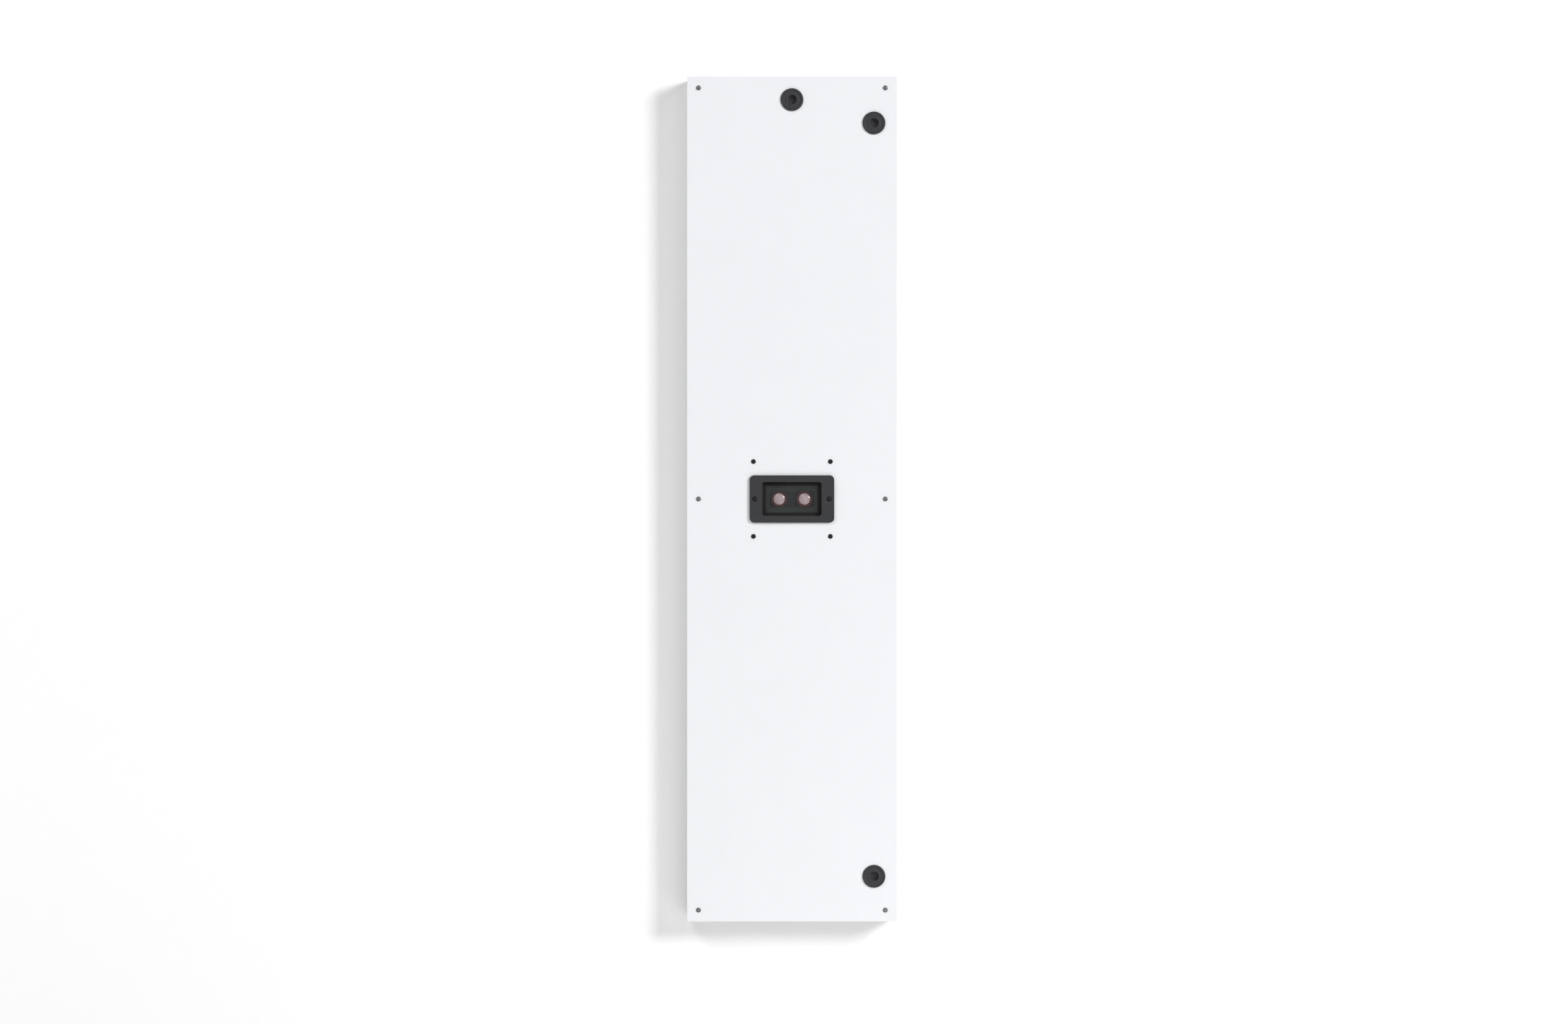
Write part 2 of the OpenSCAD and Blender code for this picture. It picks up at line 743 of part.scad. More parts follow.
module feed_pins() color("goldenrod")
    for (p = feed_points) at(p) {
        layer(reflector_level - feed_pin_sink, patch_front + feed_pin_end) circle(d = feed_pin_d);
        layer(patch_front, patch_front + solder_t) circle(d = 2 * feed_pin_d);
    }

// The lead of one patch, from its feed socket to its edge socket on the reader board
module coax_lead(i, socket) {
    way = [0, 0, feed_up[i]];
    start = [feed_points[i][0], -coax_depth, feed_points[i][1] + feed_up[i] * feed_socket / 2];
    lead(start, way, socket_face(edge_sockets[socket]), way, coax_reach, coax_d);
}

module coax_lead_1() color("saddlebrown") coax_lead(0, 0);
module coax_lead_2() color("saddlebrown") coax_lead(1, 1);
module coax_lead_3() color("saddlebrown") coax_lead(2, 3);
module coax_lead_4() color("saddlebrown") coax_lead(3, 4);

// ---- boards ----

module board(b) layer(board_level, board_front) difference() {
    translate(b[0]) sheet(b[1], b[2]);
    dots(board_points, screw_hole_d);
}

module reader_board() color("darkgreen") board(reader);
module network_board() color("darkgreen") board(network);
module power_board() color("darkgreen") board(power);

module board_pillars() color("silver")
    for (p = board_points) at(p) pillar(board_pillar_d, tray_t, board_level, board_hole_depth);

module board_screws() color("silver")
    for (p = board_points) at(p) pan_screw(board_level - board_grip, board_front);

module reader_shield() color("gainsboro") at([shield_x, 0]) difference() {
    layer(board_front, board_front + shield_size[2]) sheet(shield_size[0], shield_size[1]);
    layer(board_front - cut, board_front + shield_size[2] - shield_wall)
        sheet(shield_size[0] - 2 * shield_wall, shield_size[1] - 2 * shield_wall);
}

module reader_chips() color("#222222") {
    for (c = reader_chip_rows)
        at([c[0], c[1]]) layer(board_front, board_front + c[4]) sheet(c[2], c[3]);
}

module board_sockets() color("ivory")
    for (s = edge_sockets)
        at([s[0], s[1] + s[2] * (edge_overhang - edge_socket[1] / 2)])
            layer(board_front, board_front + edge_socket[2]) sheet(edge_socket[0], edge_socket[1]);

module network_jack() color("silver") at(top_centre) difference() {
    layer(board_front, board_front + jack_size[2]) sheet(jack_size[0], jack_size[1]);
    layer(board_front + jack_size[2] - jack_hole[2], board_front + jack_size[2] + cut)
        translate([0, -jack_hole_drop]) sheet(jack_hole[0], jack_hole[1]);
}

// A screw terminal with five ways
module terminal() difference() {
    layer(board_front, board_front + terminal_size[2]) sheet(terminal_size[0], terminal_size[1]);
    for (i = [-2:2])
        layer(board_front + terminal_size[2] - terminal_hole_depth, board_front + terminal_size[2] + cut)
            translate([i * terminal_pitch, 0]) circle(d = terminal_hole_d);
}

module link_terminal() color("seagreen") at(link_point) terminal();
module power_terminal() color("seagreen") at(power_terminal_point) terminal();

module reset_switch() color("dimgray") at(reset_point) difference() {
    layer(board_front, board_front + reset_body_t) sheet(reset_body, reset_body);
    layer(board_front + reset_floor, board_front + reset_body_t + cut)
        circle(d = reset_button_d + 2 * slide_clear);
}

module reset_button() color("#202022") at(reset_point) {
    rest = board_front + reset_floor + reset_travel + slide_clear;
    layer(rest, rest + reset_button_t) circle(d = reset_button_d);
}

// Smoothing capacitors, a ring choke and a finned regulator
module power_parts() {
    for (x = capacitor_x)
        color("#1d2430") at([x, power_row_z])
            layer(board_front, board_front + capacitor_len) circle(d = capacitor_d);
    color("#8a5a2a") at([choke_x, power_row_z]) layer(board_front, board_front + choke_t) difference() {
        circle(d = choke_d);
        circle(d = choke_hole_d);
    }
    color("#3a3a3c") at([regulator_x, power_row_z]) layer(board_front, board_front + regulator_h) {
        sheet(regulator_back[0], regulator_back[1]);
        for (i = [-2:2])
            translate([i * fin_pitch, regulator_back[1]]) sheet(regulator_fin[0], regulator_fin[1]);
    }
}

// ---- inner leads ----

module sensor_lead() color("#1a1a1c") {
    start = [sensor_lead_x, -sensor_lead_depth - lead_d / 2, -tube_h / 2 + shell_wall];
    lead(start, [0, 0, -1], socket_face(edge_sockets[6]), [0, 0, 1], sensor_reach, lead_d);
}

module power_lead() color("#1a1a1c") {
    up = [0, 0, 1];
    lead(socket_face(edge_sockets[8]), up, socket_face(edge_sockets[5]), up, long_reach, lead_d);
}

module network_lead() color("#1a1a1c") {
    down = [0, 0, -1];
    lead(socket_face(edge_sockets[7]), down, socket_face(edge_sockets[2]), down, long_reach, lead_d);
}

// ---- switches and earth ----

module tamper_switch() color("#2e2f33") at(tamper_point) difference() {
    union() {
        layer(tray_t, tray_t + tamper_base[2]) sheet(tamper_base[0], tamper_base[1]);
        layer(tray_t, tamper_top) sheet(tamper_column, tamper_column);
    }
    layer(tamper_front - tamper_plunger_len - tamper_travel - slide_clear, tamper_top + cut)
        circle(d = tamper_plunger_d + 2 * slide_clear);
}

module tamper_plunger() color("#c23b2e") at(tamper_point)
    layer(tamper_front - tamper_plunger_len, tamper_front) circle(d = tamper_plunger_d);

module earth_stud() color("goldenrod") at(earth_point) {
    layer(tray_t, tray_t + earth_len) circle(d = earth_d);
    layer(tray_t + earth_nut_level, tray_t + earth_nut_level + earth_nut_t) difference() {
        circle(d = earth_nut_d, $fn = 6);
        circle(d = earth_d + 2 * thread_clear);
    }
}

rear_tray();
front_plate();
plate_seal();
cover_screws();
cover_pillars();
grommet_top_centre();
grommet_top_right();
grommet_bottom_right();
sensor_bezel();
bezel_seal();
bezel_screws();
sensor_window();
sensor_shell();
lens_holder();
lens_barrel_left();
lens_barrel_right();
lens_left();
lens_right();
image_chips();
sensor_board();
sensor_back();
sensor_back_screws();
sensor_carrier();
carrier_screws();
carrier_nuts();
upper_reflector();
lower_reflector();
reflector_pillars();
reflector_screws();
antenna_patch_1();
antenna_patch_2();
antenna_patch_3();
antenna_patch_4();
patch_posts();
antenna_sockets();
feed_pins();
coax_lead_1();
coax_lead_2();
coax_lead_3();
coax_lead_4();
reader_board();
reader_shield();
reader_chips();
board_sockets();
board_pillars();
board_screws();
network_board();
network_jack();
link_terminal();
reset_switch();
reset_button();
power_board();
power_terminal();
power_parts();
sensor_lead();
power_lead();
network_lead();
tamper_switch();
tamper_plunger();
earth_stud();
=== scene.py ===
# %% [markdown]
# # A wall-hung security gate panel
#
# The object is a tall white box, one metre high, that hangs beside a shop doorway. Its front is a flat
# plastic plate held by six screws. Three rubber grommets let cables in, and a black bezel in the middle
# carries a people sensor with two lenses. Behind the plate a folded steel tray holds antennas, circuit
# boards and their leads.
#
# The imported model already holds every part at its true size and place. This file gives those parts their
# finish: rounded edges, real screw heads, moulded rubber, coated glass, and a material for each. Nothing is
# moved or resized.

# %% Load the frame
import bpy
import bmesh
import json
import math
import random
from mathutils import Matrix, Vector


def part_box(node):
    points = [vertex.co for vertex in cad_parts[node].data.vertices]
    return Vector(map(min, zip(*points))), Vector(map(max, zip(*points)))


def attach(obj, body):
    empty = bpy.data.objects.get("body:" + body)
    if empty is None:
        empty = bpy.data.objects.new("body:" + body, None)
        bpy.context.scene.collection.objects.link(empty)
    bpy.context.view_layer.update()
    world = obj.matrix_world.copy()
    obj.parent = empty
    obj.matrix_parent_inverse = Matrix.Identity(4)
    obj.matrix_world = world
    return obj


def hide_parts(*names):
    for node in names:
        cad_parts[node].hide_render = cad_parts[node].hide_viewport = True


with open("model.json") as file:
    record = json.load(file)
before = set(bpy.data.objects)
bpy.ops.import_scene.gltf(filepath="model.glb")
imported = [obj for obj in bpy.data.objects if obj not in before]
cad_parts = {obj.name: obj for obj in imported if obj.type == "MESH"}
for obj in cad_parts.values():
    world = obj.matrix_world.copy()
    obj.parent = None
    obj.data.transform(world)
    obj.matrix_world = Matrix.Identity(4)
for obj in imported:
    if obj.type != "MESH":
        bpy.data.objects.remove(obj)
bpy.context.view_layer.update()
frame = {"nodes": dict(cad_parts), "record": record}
record = frame["record"]

# %% [markdown]
# ## Measures
#
# Blender works in metres and a maker thinks in millimetres, so one constant turns one into the other. A place
# is never typed in: it is read from the box of the part that it belongs to. Depths run along Y, and the front
# faces -Y.

# %% Measures taken from the parts
MM = 0.001
WELD = 0.002 * MM  # corners nearer than this are one corner


def middle(node):
    """The centre of a part's box."""
    low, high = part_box(node)
    return (low + high) / 2


def size(node):
    """The width, depth and height of a part's box."""
    low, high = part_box(node)
    return high - low


plate_low, plate_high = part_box("front_plate")
plate_w = plate_high.x - plate_low.x
plate_face = plate_low.y
tray_low, tray_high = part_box("rear_tray")
plate_h = size("front_plate").z
print("plate %.0f x %.0f mm, face at %.1f mm" % (plate_w / MM, plate_h / MM, plate_face / MM))

# %% [markdown]
# ## Camera
#
# A flat panel is photographed square-on with a long lens from far away, so that its sides don't show and its
# edges stay parallel. The lens follows from the distance and from how much of the picture's width the plate
# fills. The picture's centre lies a little to the left of the panel's centre and a little below it.

# %% Camera
SENSOR = 36.0
DISTANCE = 6.0
plate_share = 0.1337
look_left, look_down = 9.4 * MM, 15.4 * MM

camera_data = bpy.data.cameras.new("long_lens")
camera_data.sensor_width = SENSOR
camera_data.lens = SENSOR * DISTANCE * plate_share / plate_w
camera = bpy.data.objects.new("camera", camera_data)
bpy.context.scene.collection.objects.link(camera)
camera.location = (-look_left, plate_face - DISTANCE, -look_down)
camera.rotation_euler = (math.radians(90), 0, 0)
bpy.context.scene.camera = camera
print("lens %.0f mm at %.1f m" % (camera_data.lens, DISTANCE))

# %% [markdown]
# ## Nodes in one line each
#
# Shader trees and geometry trees are both boxes joined by wires. One small function adds a box with its
# settings, and takes for each input either a plain value or the socket that feeds it. That keeps each
# material short enough to read.
#
# Colours are written as the hex values that a designer uses. Blender computes in linear light, so one
# function turns each hex value into linear numbers.

# %% Helpers for nodes and colours
def add(tree, kind, inputs=None, **settings):
    """Adds a node, sets its properties, and gives each input a value or a wire."""
    node = tree.nodes.new(kind)
    for key, value in settings.items():
        setattr(node, key, value)
    for name, value in (inputs or {}).items():
        if isinstance(value, bpy.types.NodeSocket):
            tree.links.new(value, node.inputs[name])
        else:
            node.inputs[name].default_value = value
    return node


def linear(hex_colour):
    """An sRGB hex colour as linear RGBA."""
    channels = [int(hex_colour[i:i + 2], 16) / 255 for i in (1, 3, 5)]
    return [c / 12.92 if c <= 0.04045 else ((c + 0.055) / 1.055) ** 2.4 for c in channels] + [1.0]


def surface(name, colour, roughness, metallic=0.0, ior=None, **sockets):
    """Returns a material with one Principled surface, its tree, that surface and its coordinates."""
    material = bpy.data.materials.new(name)
    material.use_nodes = True
    tree = material.node_tree
    tree.nodes.clear()
    inputs = {"Base Color": linear(colour), "Roughness": roughness, "Metallic": metallic}
    if ior is not None:
        inputs["IOR"] = ior
    inputs.update({key.replace("_", " "): value for key, value in sockets.items()})
    shader = add(tree, "ShaderNodeBsdfPrincipled", inputs)
    add(tree, "ShaderNodeOutputMaterial", {"Surface": shader.outputs["BSDF"]})
    place = add(tree, "ShaderNodeTexCoord").outputs["Object"]
    return material, tree, shader, place


def noise(tree, place, grain_mm, detail=2.0, stretch=None):
    """Noise whose lumps are about grain_mm across. stretch draws it out along the axes, for brushing."""
    if stretch:
        place = add(tree, "ShaderNodeMapping", {"Vector": place, "Scale": stretch}).outputs["Vector"]
    inputs = {"Vector": place, "Scale": 1 / (grain_mm * MM), "Detail": detail}
    return add(tree, "ShaderNodeTexNoise", inputs).outputs["Fac"]


def relief(tree, shader, height, depth_mm):
    """Turns a height pattern into bumps depth_mm deep."""
    inputs = {"Height": height, "Distance": depth_mm * MM, "Strength": 1.0}
    bump = add(tree, "ShaderNodeBump", inputs)
    tree.links.new(bump.outputs["Normal"], shader.inputs["Normal"])


def spread(tree, value, low, high):
    """Maps a pattern of 0 to 1 onto low to high."""
    return add(tree, "ShaderNodeMapRange", {"Value": value, "To Min": low, "To Max": high}).outputs["Result"]


# The Mix node keeps its colour sockets behind those for numbers and vectors, under the same names
COLOUR_A, COLOUR_B, COLOUR_RESULT = 6, 7, 2


def mottle(tree, shader, value, dark, light):
    """Lets the colour wander between two hex colours as a pattern says."""
    mix = add(tree, "ShaderNodeMix", {"Factor": value}, data_type="RGBA")
    mix.inputs[COLOUR_A].default_value = linear(dark)
    mix.inputs[COLOUR_B].default_value = linear(light)
    tree.links.new(mix.outputs[COLOUR_RESULT], shader.inputs["Base Color"])


# %% [markdown]
# ## The wall, the floor and the light
#
# The panel hangs on a plain white wall. A wall behind an object hides its back from a camera that walks round
# it, so this wall has an opening exactly as large as the tray. The panel covers it from the front, and from
# behind the whole back of the tray shows through it. The wall is a simple ring of four quads, and the floor
# lies far below the view.

# %% Wall and floor
WALL_REACH = 7.0
FLOOR_LEVEL = -3.6


def board_with_opening(name, outer, inner, y):
    """A flat ring in the wall plane between two rectangles, each given as left, bottom, right, top."""
    corners = []
    for left, bottom, right, top in (outer, inner):
        corners += [(left, y, bottom), (right, y, bottom), (right, y, top), (left, y, top)]
    faces = [(i, (i + 1) % 4, 4 + (i + 1) % 4, 4 + i) for i in range(4)]
    mesh = bpy.data.meshes.new(name)
    mesh.from_pydata(corners, [], faces)
    ring = bpy.data.objects.new(name, mesh)
    bpy.context.scene.collection.objects.link(ring)
    return ring


wall = board_with_opening(
    "wall",
    (-WALL_REACH, FLOOR_LEVEL, WALL_REACH, WALL_REACH),
    (tray_low.x, tray_low.z, tray_high.x, tray_high.z),
    tray_high.y,
)
floor_mesh = bpy.data.meshes.new("floor")
floor_mesh.from_pydata(
    [(x * WALL_REACH, y * WALL_REACH, FLOOR_LEVEL) for x, y in ((-1, -1), (1, -1), (1, 1), (-1, 1))],
    [], [(0, 1, 2, 3)],
)
floor = bpy.data.objects.new("floor", floor_mesh)
bpy.context.scene.collection.objects.link(floor)

wall_paint, tree, shader, place = surface("white_wall_paint", "#F8F8F8", 0.9)
relief(tree, shader, noise(tree, place, 2.5), 0.03)
floor_paint, tree, shader, place = surface("pale_floor_paint", "#EDEDEC", 0.8)
relief(tree, shader, noise(tree, place, 4.0), 0.05)
wall.data.materials.append(wall_paint)
floor.data.materials.append(floor_paint)

# %% [markdown]
# The shadow lies to the left of the panel and below it, and it is very soft. So the key is a softbox to the
# right and above, far enough away to light the wall evenly. A weaker one high on the left lifts the shadow,
# and one far left keeps that end of the wall white. One low in front brightens the lower half of the plate,
# and a wide one in front evens out the rest. The last lights the back, for a camera that walks behind the
# wall.

# %% Lights
def softbox(name, place, width, height, power, target):
    """A rectangular soft light that faces its target and isn't seen itself."""
    light = bpy.data.lights.new(name, "AREA")
    light.shape = "RECTANGLE"
    light.size, light.size_y = width, height
    light.energy = power
    lamp = bpy.data.objects.new(name, light)
    bpy.context.scene.collection.objects.link(lamp)
    lamp.location = place
    lamp.rotation_euler = (Vector(target) - Vector(place)).to_track_quat("-Z", "Y").to_euler()
    lamp.visible_camera = False


CENTRE = (0.0, 0.0, 0.0)
WALL_LEFT_END = (-1.2, 0.0, -0.4)
# name, place, width, height, power in watts, target
SOFTBOXES = (
    ("key_softbox", (3.2, -3.6, 1.5), 1.5, 1.5, 176, CENTRE),
    ("high_softbox", (-1.6, -2.6, 2.4), 1.6, 1.6, 45, CENTRE),
    ("front_softbox", (0.3, -4.6, 0.4), 3.4, 3.0, 34, CENTRE),
    ("left_softbox", (-2.5, -1.2, -0.6), 1.6, 1.4, 15, WALL_LEFT_END),
    ("low_softbox", (0.4, -1.3, -1.0), 1.0, 0.9, 7, CENTRE),
    ("back_softbox", (-1.6, 3.2, 1.8), 2.4, 2.4, 220, CENTRE),
)
for softbox_facts in SOFTBOXES:
    softbox(*softbox_facts)

SKY_STRENGTH = 0.02
world = bpy.data.worlds.new("studio")
world.use_nodes = True
world.node_tree.nodes["Background"].inputs["Color"].default_value = (1, 1, 1, 1)
world.node_tree.nodes["Background"].inputs["Strength"].default_value = SKY_STRENGTH
bpy.context.scene.world = world
bpy.context.scene.view_settings.view_transform = "Standard"
print(len(SOFTBOXES), "softboxes")

# %% [markdown]
# ## Plastics and rubber
#
# The plate is ABS sheet, white and satin, because metal would block the antennas behind it. Extruded sheet
# has a faint texture of about half a millimetre and gloss that wanders slowly over its length.
#
# The black parts are moulded. A mould is often eroded by sparks, which leaves an even grain of tenths of a
# millimetre that scatters the light. Rubber is duller still, and carries a fine bloom of lighter dust.

# %% White sheet plastic
abs_sheet, tree, shader, place = surface("satin_white_abs_sheet", "#E0E1E4", 0.38, ior=1.54)
mottle(tree, shader, noise(tree, place, 60, detail=4), "#DFE0E3", "#E2E3E6")
slow_gloss = spread(tree, noise(tree, place, 35, detail=3), 0.33, 0.44)
tree.links.new(slow_gloss, shader.inputs["Roughness"])
relief(tree, shader, noise(tree, place, 0.5), 0.006)


# %% Moulded plastics
def moulded(name, colour, lighter, grain_mm, roughness):
    """A moulded plastic with spark-eroded grain and slightly lighter high spots."""
    material, tree, shader, place = surface(name, colour, roughness, ior=1.52)
    grain = noise(tree, place, grain_mm, detail=3)
    mottle(tree, shader, grain, colour, lighter)
    wear = spread(tree, noise(tree, place, 9), roughness - 0.06, roughness + 0.08)
    tree.links.new(wear, shader.inputs["Roughness"])
    relief(tree, shader, grain, 0.03)
    return material


black_nylon = moulded("spark_grained_black_nylon", "#151619", "#202125", 0.45, 0.5)
# the recess material is painted shade, near black to darken the sensor's recess
recess_painted_shade = moulded("recess_black_painted_shade", "#08080A", "#0E0E10", 0.3, 0.85)
chip_epoxy = moulded("black_moulding_epoxy", "#1C1C1E", "#262628", 0.2, 0.6)
ivory_nylon = moulded("natural_nylon", "#E3DFCF", "#EDEADD", 0.6, 0.42)
green_polyamide = moulded("green_terminal_polyamide", "#1F7A3C", "#268A46", 0.5, 0.35)
red_acetal = moulded("red_acetal", "#B3281D", "#BE3226", 0.4, 0.32)
black_pvc = moulded("black_pvc_jacket", "#1A1A1C", "#232326", 0.35, 0.48)
brown_fep = moulded("brown_fep_jacket", "#7A4526", "#86502E", 0.5, 0.22)

# %% Rubber and foam
epdm, tree, shader, place = surface("moulded_epdm_rubber", "#1C1D20", 0.62, ior=1.5, Sheen_Weight=0.12)
bloom = noise(tree, place, 1.6, detail=5)
mottle(tree, shader, bloom, "#191A1D", "#28292D")
relief(tree, shader, noise(tree, place, 0.3, detail=3), 0.02)

foam, tree, shader, place = surface("closed_cell_foam", "#1B1B1D", 0.95, ior=1.45)
cells = add(tree, "ShaderNodeTexVoronoi", {"Vector": place, "Scale": 1 / (0.7 * MM)})
relief(tree, shader, cells.outputs["Distance"], 0.2)

# %% [markdown]
# ## Metals
#
# A metal's colour is its reflection, so its base colour is light and its roughness makes the difference.
# Mill-finish sheet carries long rolling marks along its length, zinc has a soft crystalline mottle, and
# turned parts have fine rings that read as a dull sheen. Black oxide is a thin dark skin that lets a little
# metal show through.

# %% Metals
def rolled(name, colour, roughness, stretch, grain_mm=1.2, depth_mm=0.004):
    """Sheet metal with rolling marks drawn out along one axis."""
    material, tree, shader, place = surface(name, colour, roughness, metallic=1.0)
    marks = noise(tree, place, grain_mm, detail=4, stretch=stretch)
    tree.links.new(spread(tree, marks, roughness - 0.08, roughness + 0.12), shader.inputs["Roughness"])
    relief(tree, shader, marks, depth_mm)
    return material


along_height = (1.0, 1.0, 0.02)
mill_aluminium = rolled("mill_finish_aluminium", "#D5D6D8", 0.34, along_height)
tinned_sheet = rolled("tinned_steel_sheet", "#C9CACB", 0.28, (0.05, 1.0, 1.0))
stainless = rolled("turned_stainless_steel", "#76777A", 0.32, (1.0, 0.2, 1.0), grain_mm=0.5)
turned_brass = rolled("turned_brass", "#D3A95A", 0.26, (1.0, 0.2, 1.0), grain_mm=0.5)

bright_zinc, tree, shader, place = surface("bright_zinc_plate", "#B9BDC2", 0.3, metallic=1.0)
crystals = add(tree, "ShaderNodeTexVoronoi", {"Vector": place, "Scale": 1 / (3 * MM)}, feature="SMOOTH_F1")
tree.links.new(spread(tree, crystals.outputs["Distance"], 0.22, 0.42), shader.inputs["Roughness"])
mottle(tree, shader, crystals.outputs["Distance"], "#AEB3B9", "#C6C8C6")

black_oxide, tree, shader, place = surface("black_oxide_steel", "#1D1D20", 0.42, metallic=0.6)
mottle(tree, shader, noise(tree, place, 0.8, detail=4), "#151517", "#2B2B2E")

black_anodised, tree, shader, place = surface("black_anodised_aluminium", "#19191B", 0.36, metallic=0.7)
relief(tree, shader, noise(tree, place, 0.25, stretch=(1.0, 6.0, 1.0)), 0.004)

# %% [markdown]
# ## Paint, boards and glass
#
# Powder coat flows as it bakes and sets with the fine ripples called orange peel, a millimetre or two apart.
#
# A circuit board is green lacquer over copper tracks and woven glass. The tracks show as slightly lighter,
# raised lines that run side by side, across in one patch of the board and up in the next. A random number
# for each patch settles which way its tracks run, and whether it has any.
#
# The window is glass dyed nearly black that still lets infrared through. The lenses are clear glass with a
# coating that reflects a soft pinkish light; here that pale pink reflection is painted into their near-white
# base colour.

# %% Paint
powder_coat, tree, shader, place = surface(
    "white_powder_coat", "#E6E7E8", 0.4, ior=1.5, Coat_Weight=0.15, Coat_Roughness=0.3,
)
relief(tree, shader, noise(tree, place, 1.5, detail=1), 0.03)
tree.links.new(spread(tree, noise(tree, place, 25), 0.36, 0.46), shader.inputs["Roughness"])

# %% Circuit board
solder_mask, tree, shader, place = surface("green_solder_mask", "#23402F", 0.3, ior=1.56, Coat_Weight=0.3)
flat = add(tree, "ShaderNodeSeparateXYZ", {"Vector": place})
board_plane = add(
    tree, "ShaderNodeCombineXYZ", {"X": flat.outputs["X"], "Y": flat.outputs["Z"]}
).outputs["Vector"]


def compute(tree, operation, first, second):
    """One Math node, with each operand a wire or a number."""
    node = add(tree, "ShaderNodeMath", operation=operation)
    for socket, value in zip(node.inputs, (first, second)):
        if isinstance(value, bpy.types.NodeSocket):
            tree.links.new(value, socket)
        else:
            socket.default_value = value
    return node.outputs["Value"]


PATCH = (13 * MM, 8 * MM, 1.0)
TRACK_PITCH = 1.3 * MM
TRACK_SHARE = 0.3  # of each pitch is track
EMPTY_SHARE = 0.35  # of the patches have none
patch = add(tree, "ShaderNodeVectorMath", operation="SNAP")
tree.links.new(board_plane, patch.inputs[0])
patch.inputs[1].default_value = PATCH
chance = add(tree, "ShaderNodeTexWhiteNoise", {"Vector": patch.outputs["Vector"]}, noise_dimensions="2D")
which = add(tree, "ShaderNodeSeparateXYZ", {"Vector": chance.outputs["Color"]}).outputs
upright = compute(tree, "GREATER_THAN", which["X"], 0.5)


def stripes(axis):
    """1 on a track and 0 between two, counted along one axis."""
    pitches = compute(tree, "DIVIDE", flat.outputs[axis], TRACK_PITCH)
    return compute(tree, "LESS_THAN", compute(tree, "FRACT", pitches, 0), TRACK_SHARE)


across, up = stripes("X"), stripes("Z")
chosen = compute(
    tree, "ADD", compute(tree, "MULTIPLY", across, upright),
    compute(tree, "MULTIPLY", up, compute(tree, "SUBTRACT", 1.0, upright)),
)
tracks = compute(tree, "MULTIPLY", chosen, compute(tree, "GREATER_THAN", which["Y"], EMPTY_SHARE))
mottle(tree, shader, tracks, "#1D3427", "#2C4637")
relief(tree, shader, tracks, 0.03)

# %% Glass
smoked_glass, tree, shader, place = surface("smoked_infrared_glass", "#2B2E2F", 0.03, ior=1.5, Alpha=0.18)
relief(tree, shader, noise(tree, place, 18, detail=1), 0.004)

# the lens's near-white base colour and its mottle are a painted reflection of the pale pink studio highlight
coated_glass, tree, shader, place = surface(
    "lens_glass_painted_reflection", "#F6EFEF", 0.12, ior=1.52,
    Coat_Weight=1.0, Coat_Roughness=0.04, Coat_Tint=linear("#F0DEE2"),
)
mottle(tree, shader, noise(tree, place, 5, detail=1), "#ECE2E2", "#FAF3F3")

# %% [markdown]
# ## One material for every slot
#
# Each part names a slot of the record, and the slot says what it is made of. A table from slot to material
# dresses the parts of the frame and the new pieces alike, so a repaint of one slot reaches everything that it
# should.

# %% Materials by slot
MATERIALS = {
    "white_plate": abs_sheet,
    "tray_paint": powder_coat,
    "seal_foam": foam,
    "stainless_steel": stainless,
    "zinc_steel": bright_zinc,
    "black_steel": black_oxide,
    "grommet_rubber": epdm,
    "black_plastic": black_nylon,
    "window_glass": smoked_glass,
    "black_aluminium": black_anodised,
    "coated_glass": coated_glass,
    "circuit_board": solder_mask,
    "chip_plastic": chip_epoxy,
    "bare_aluminium": mill_aluminium,
    "nylon": ivory_nylon,
    "brass": turned_brass,
    "coax_jacket": brown_fep,
    "tinned_steel": tinned_sheet,
    "terminal_plastic": green_polyamide,
    "lead_jacket": black_pvc,
    "red_plastic": red_acetal,
}
slot_of = {part["node"]: part["material_slot"] for part in record["subparts"]}
body_of = {node: body for body, nodes in record["behaviour"]["bodies"].items() for node in nodes}
for node, part in frame["nodes"].items():
    part.data.materials.clear()
    part.data.materials.append(MATERIALS[slot_of[node]])
print(len(MATERIALS), "materials on", len(frame["nodes"]), "parts")


def keep(piece, node, *more_nodes):
    """Makes a finished piece stand for its part: same body and the material of its slot, and the part is
    hidden.
    """
    if not piece.data.materials:
        piece.data.materials.append(MATERIALS[slot_of[node]])
    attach(piece, body_of[node])
    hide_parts(node, *more_nodes)
    return piece


# %% [markdown]
# ## Broken edges
#
# No cut or moulded edge is truly sharp, and the thin line of light along it is what makes a part look real.
# The exact part is copied, its loose triangles are merged into clean faces, and a bevel of a few tenths of a
# millimetre breaks every edge. The copy stands in for the part, which stays as it was.

# %% Copies with broken edges
SHARP_EDGE = math.radians(35)
MERGED_FACES = math.radians(1)


def merged_copy(node):
    """A copy of a part's mesh with its triangles joined into flat faces."""
    shape = bmesh.new()
    shape.from_mesh(frame["nodes"][node].data)
    bmesh.ops.remove_doubles(shape, verts=shape.verts, dist=WELD)
    bmesh.ops.dissolve_limit(shape, angle_limit=MERGED_FACES, verts=shape.verts, edges=shape.edges)
    mesh = bpy.data.meshes.new(node + "_piece")
    shape.to_mesh(mesh)
    shape.free()
    piece = bpy.data.objects.new(node + "_piece", mesh)
    bpy.context.scene.collection.objects.link(piece)
    return piece


def flat_faces(piece):
    """Smooth shading in which large faces win, so that a flat face stays flat up to its rounded edge."""
    piece.data.polygons.foreach_set("use_smooth", [True] * len(piece.data.polygons))
    weighted = piece.modifiers.new("flat_faces", "WEIGHTED_NORMAL")
    weighted.mode = "FACE_AREA"
    weighted.weight = 100


def break_edges(piece, radius_mm):
    """A live bevel on every sharp edge."""
    bevel = piece.modifiers.new("broken_edges", "BEVEL")
    bevel.width = radius_mm * MM
    bevel.segments = 2
    bevel.limit_method = "ANGLE"
    bevel.angle_limit = SHARP_EDGE
    flat_faces(piece)


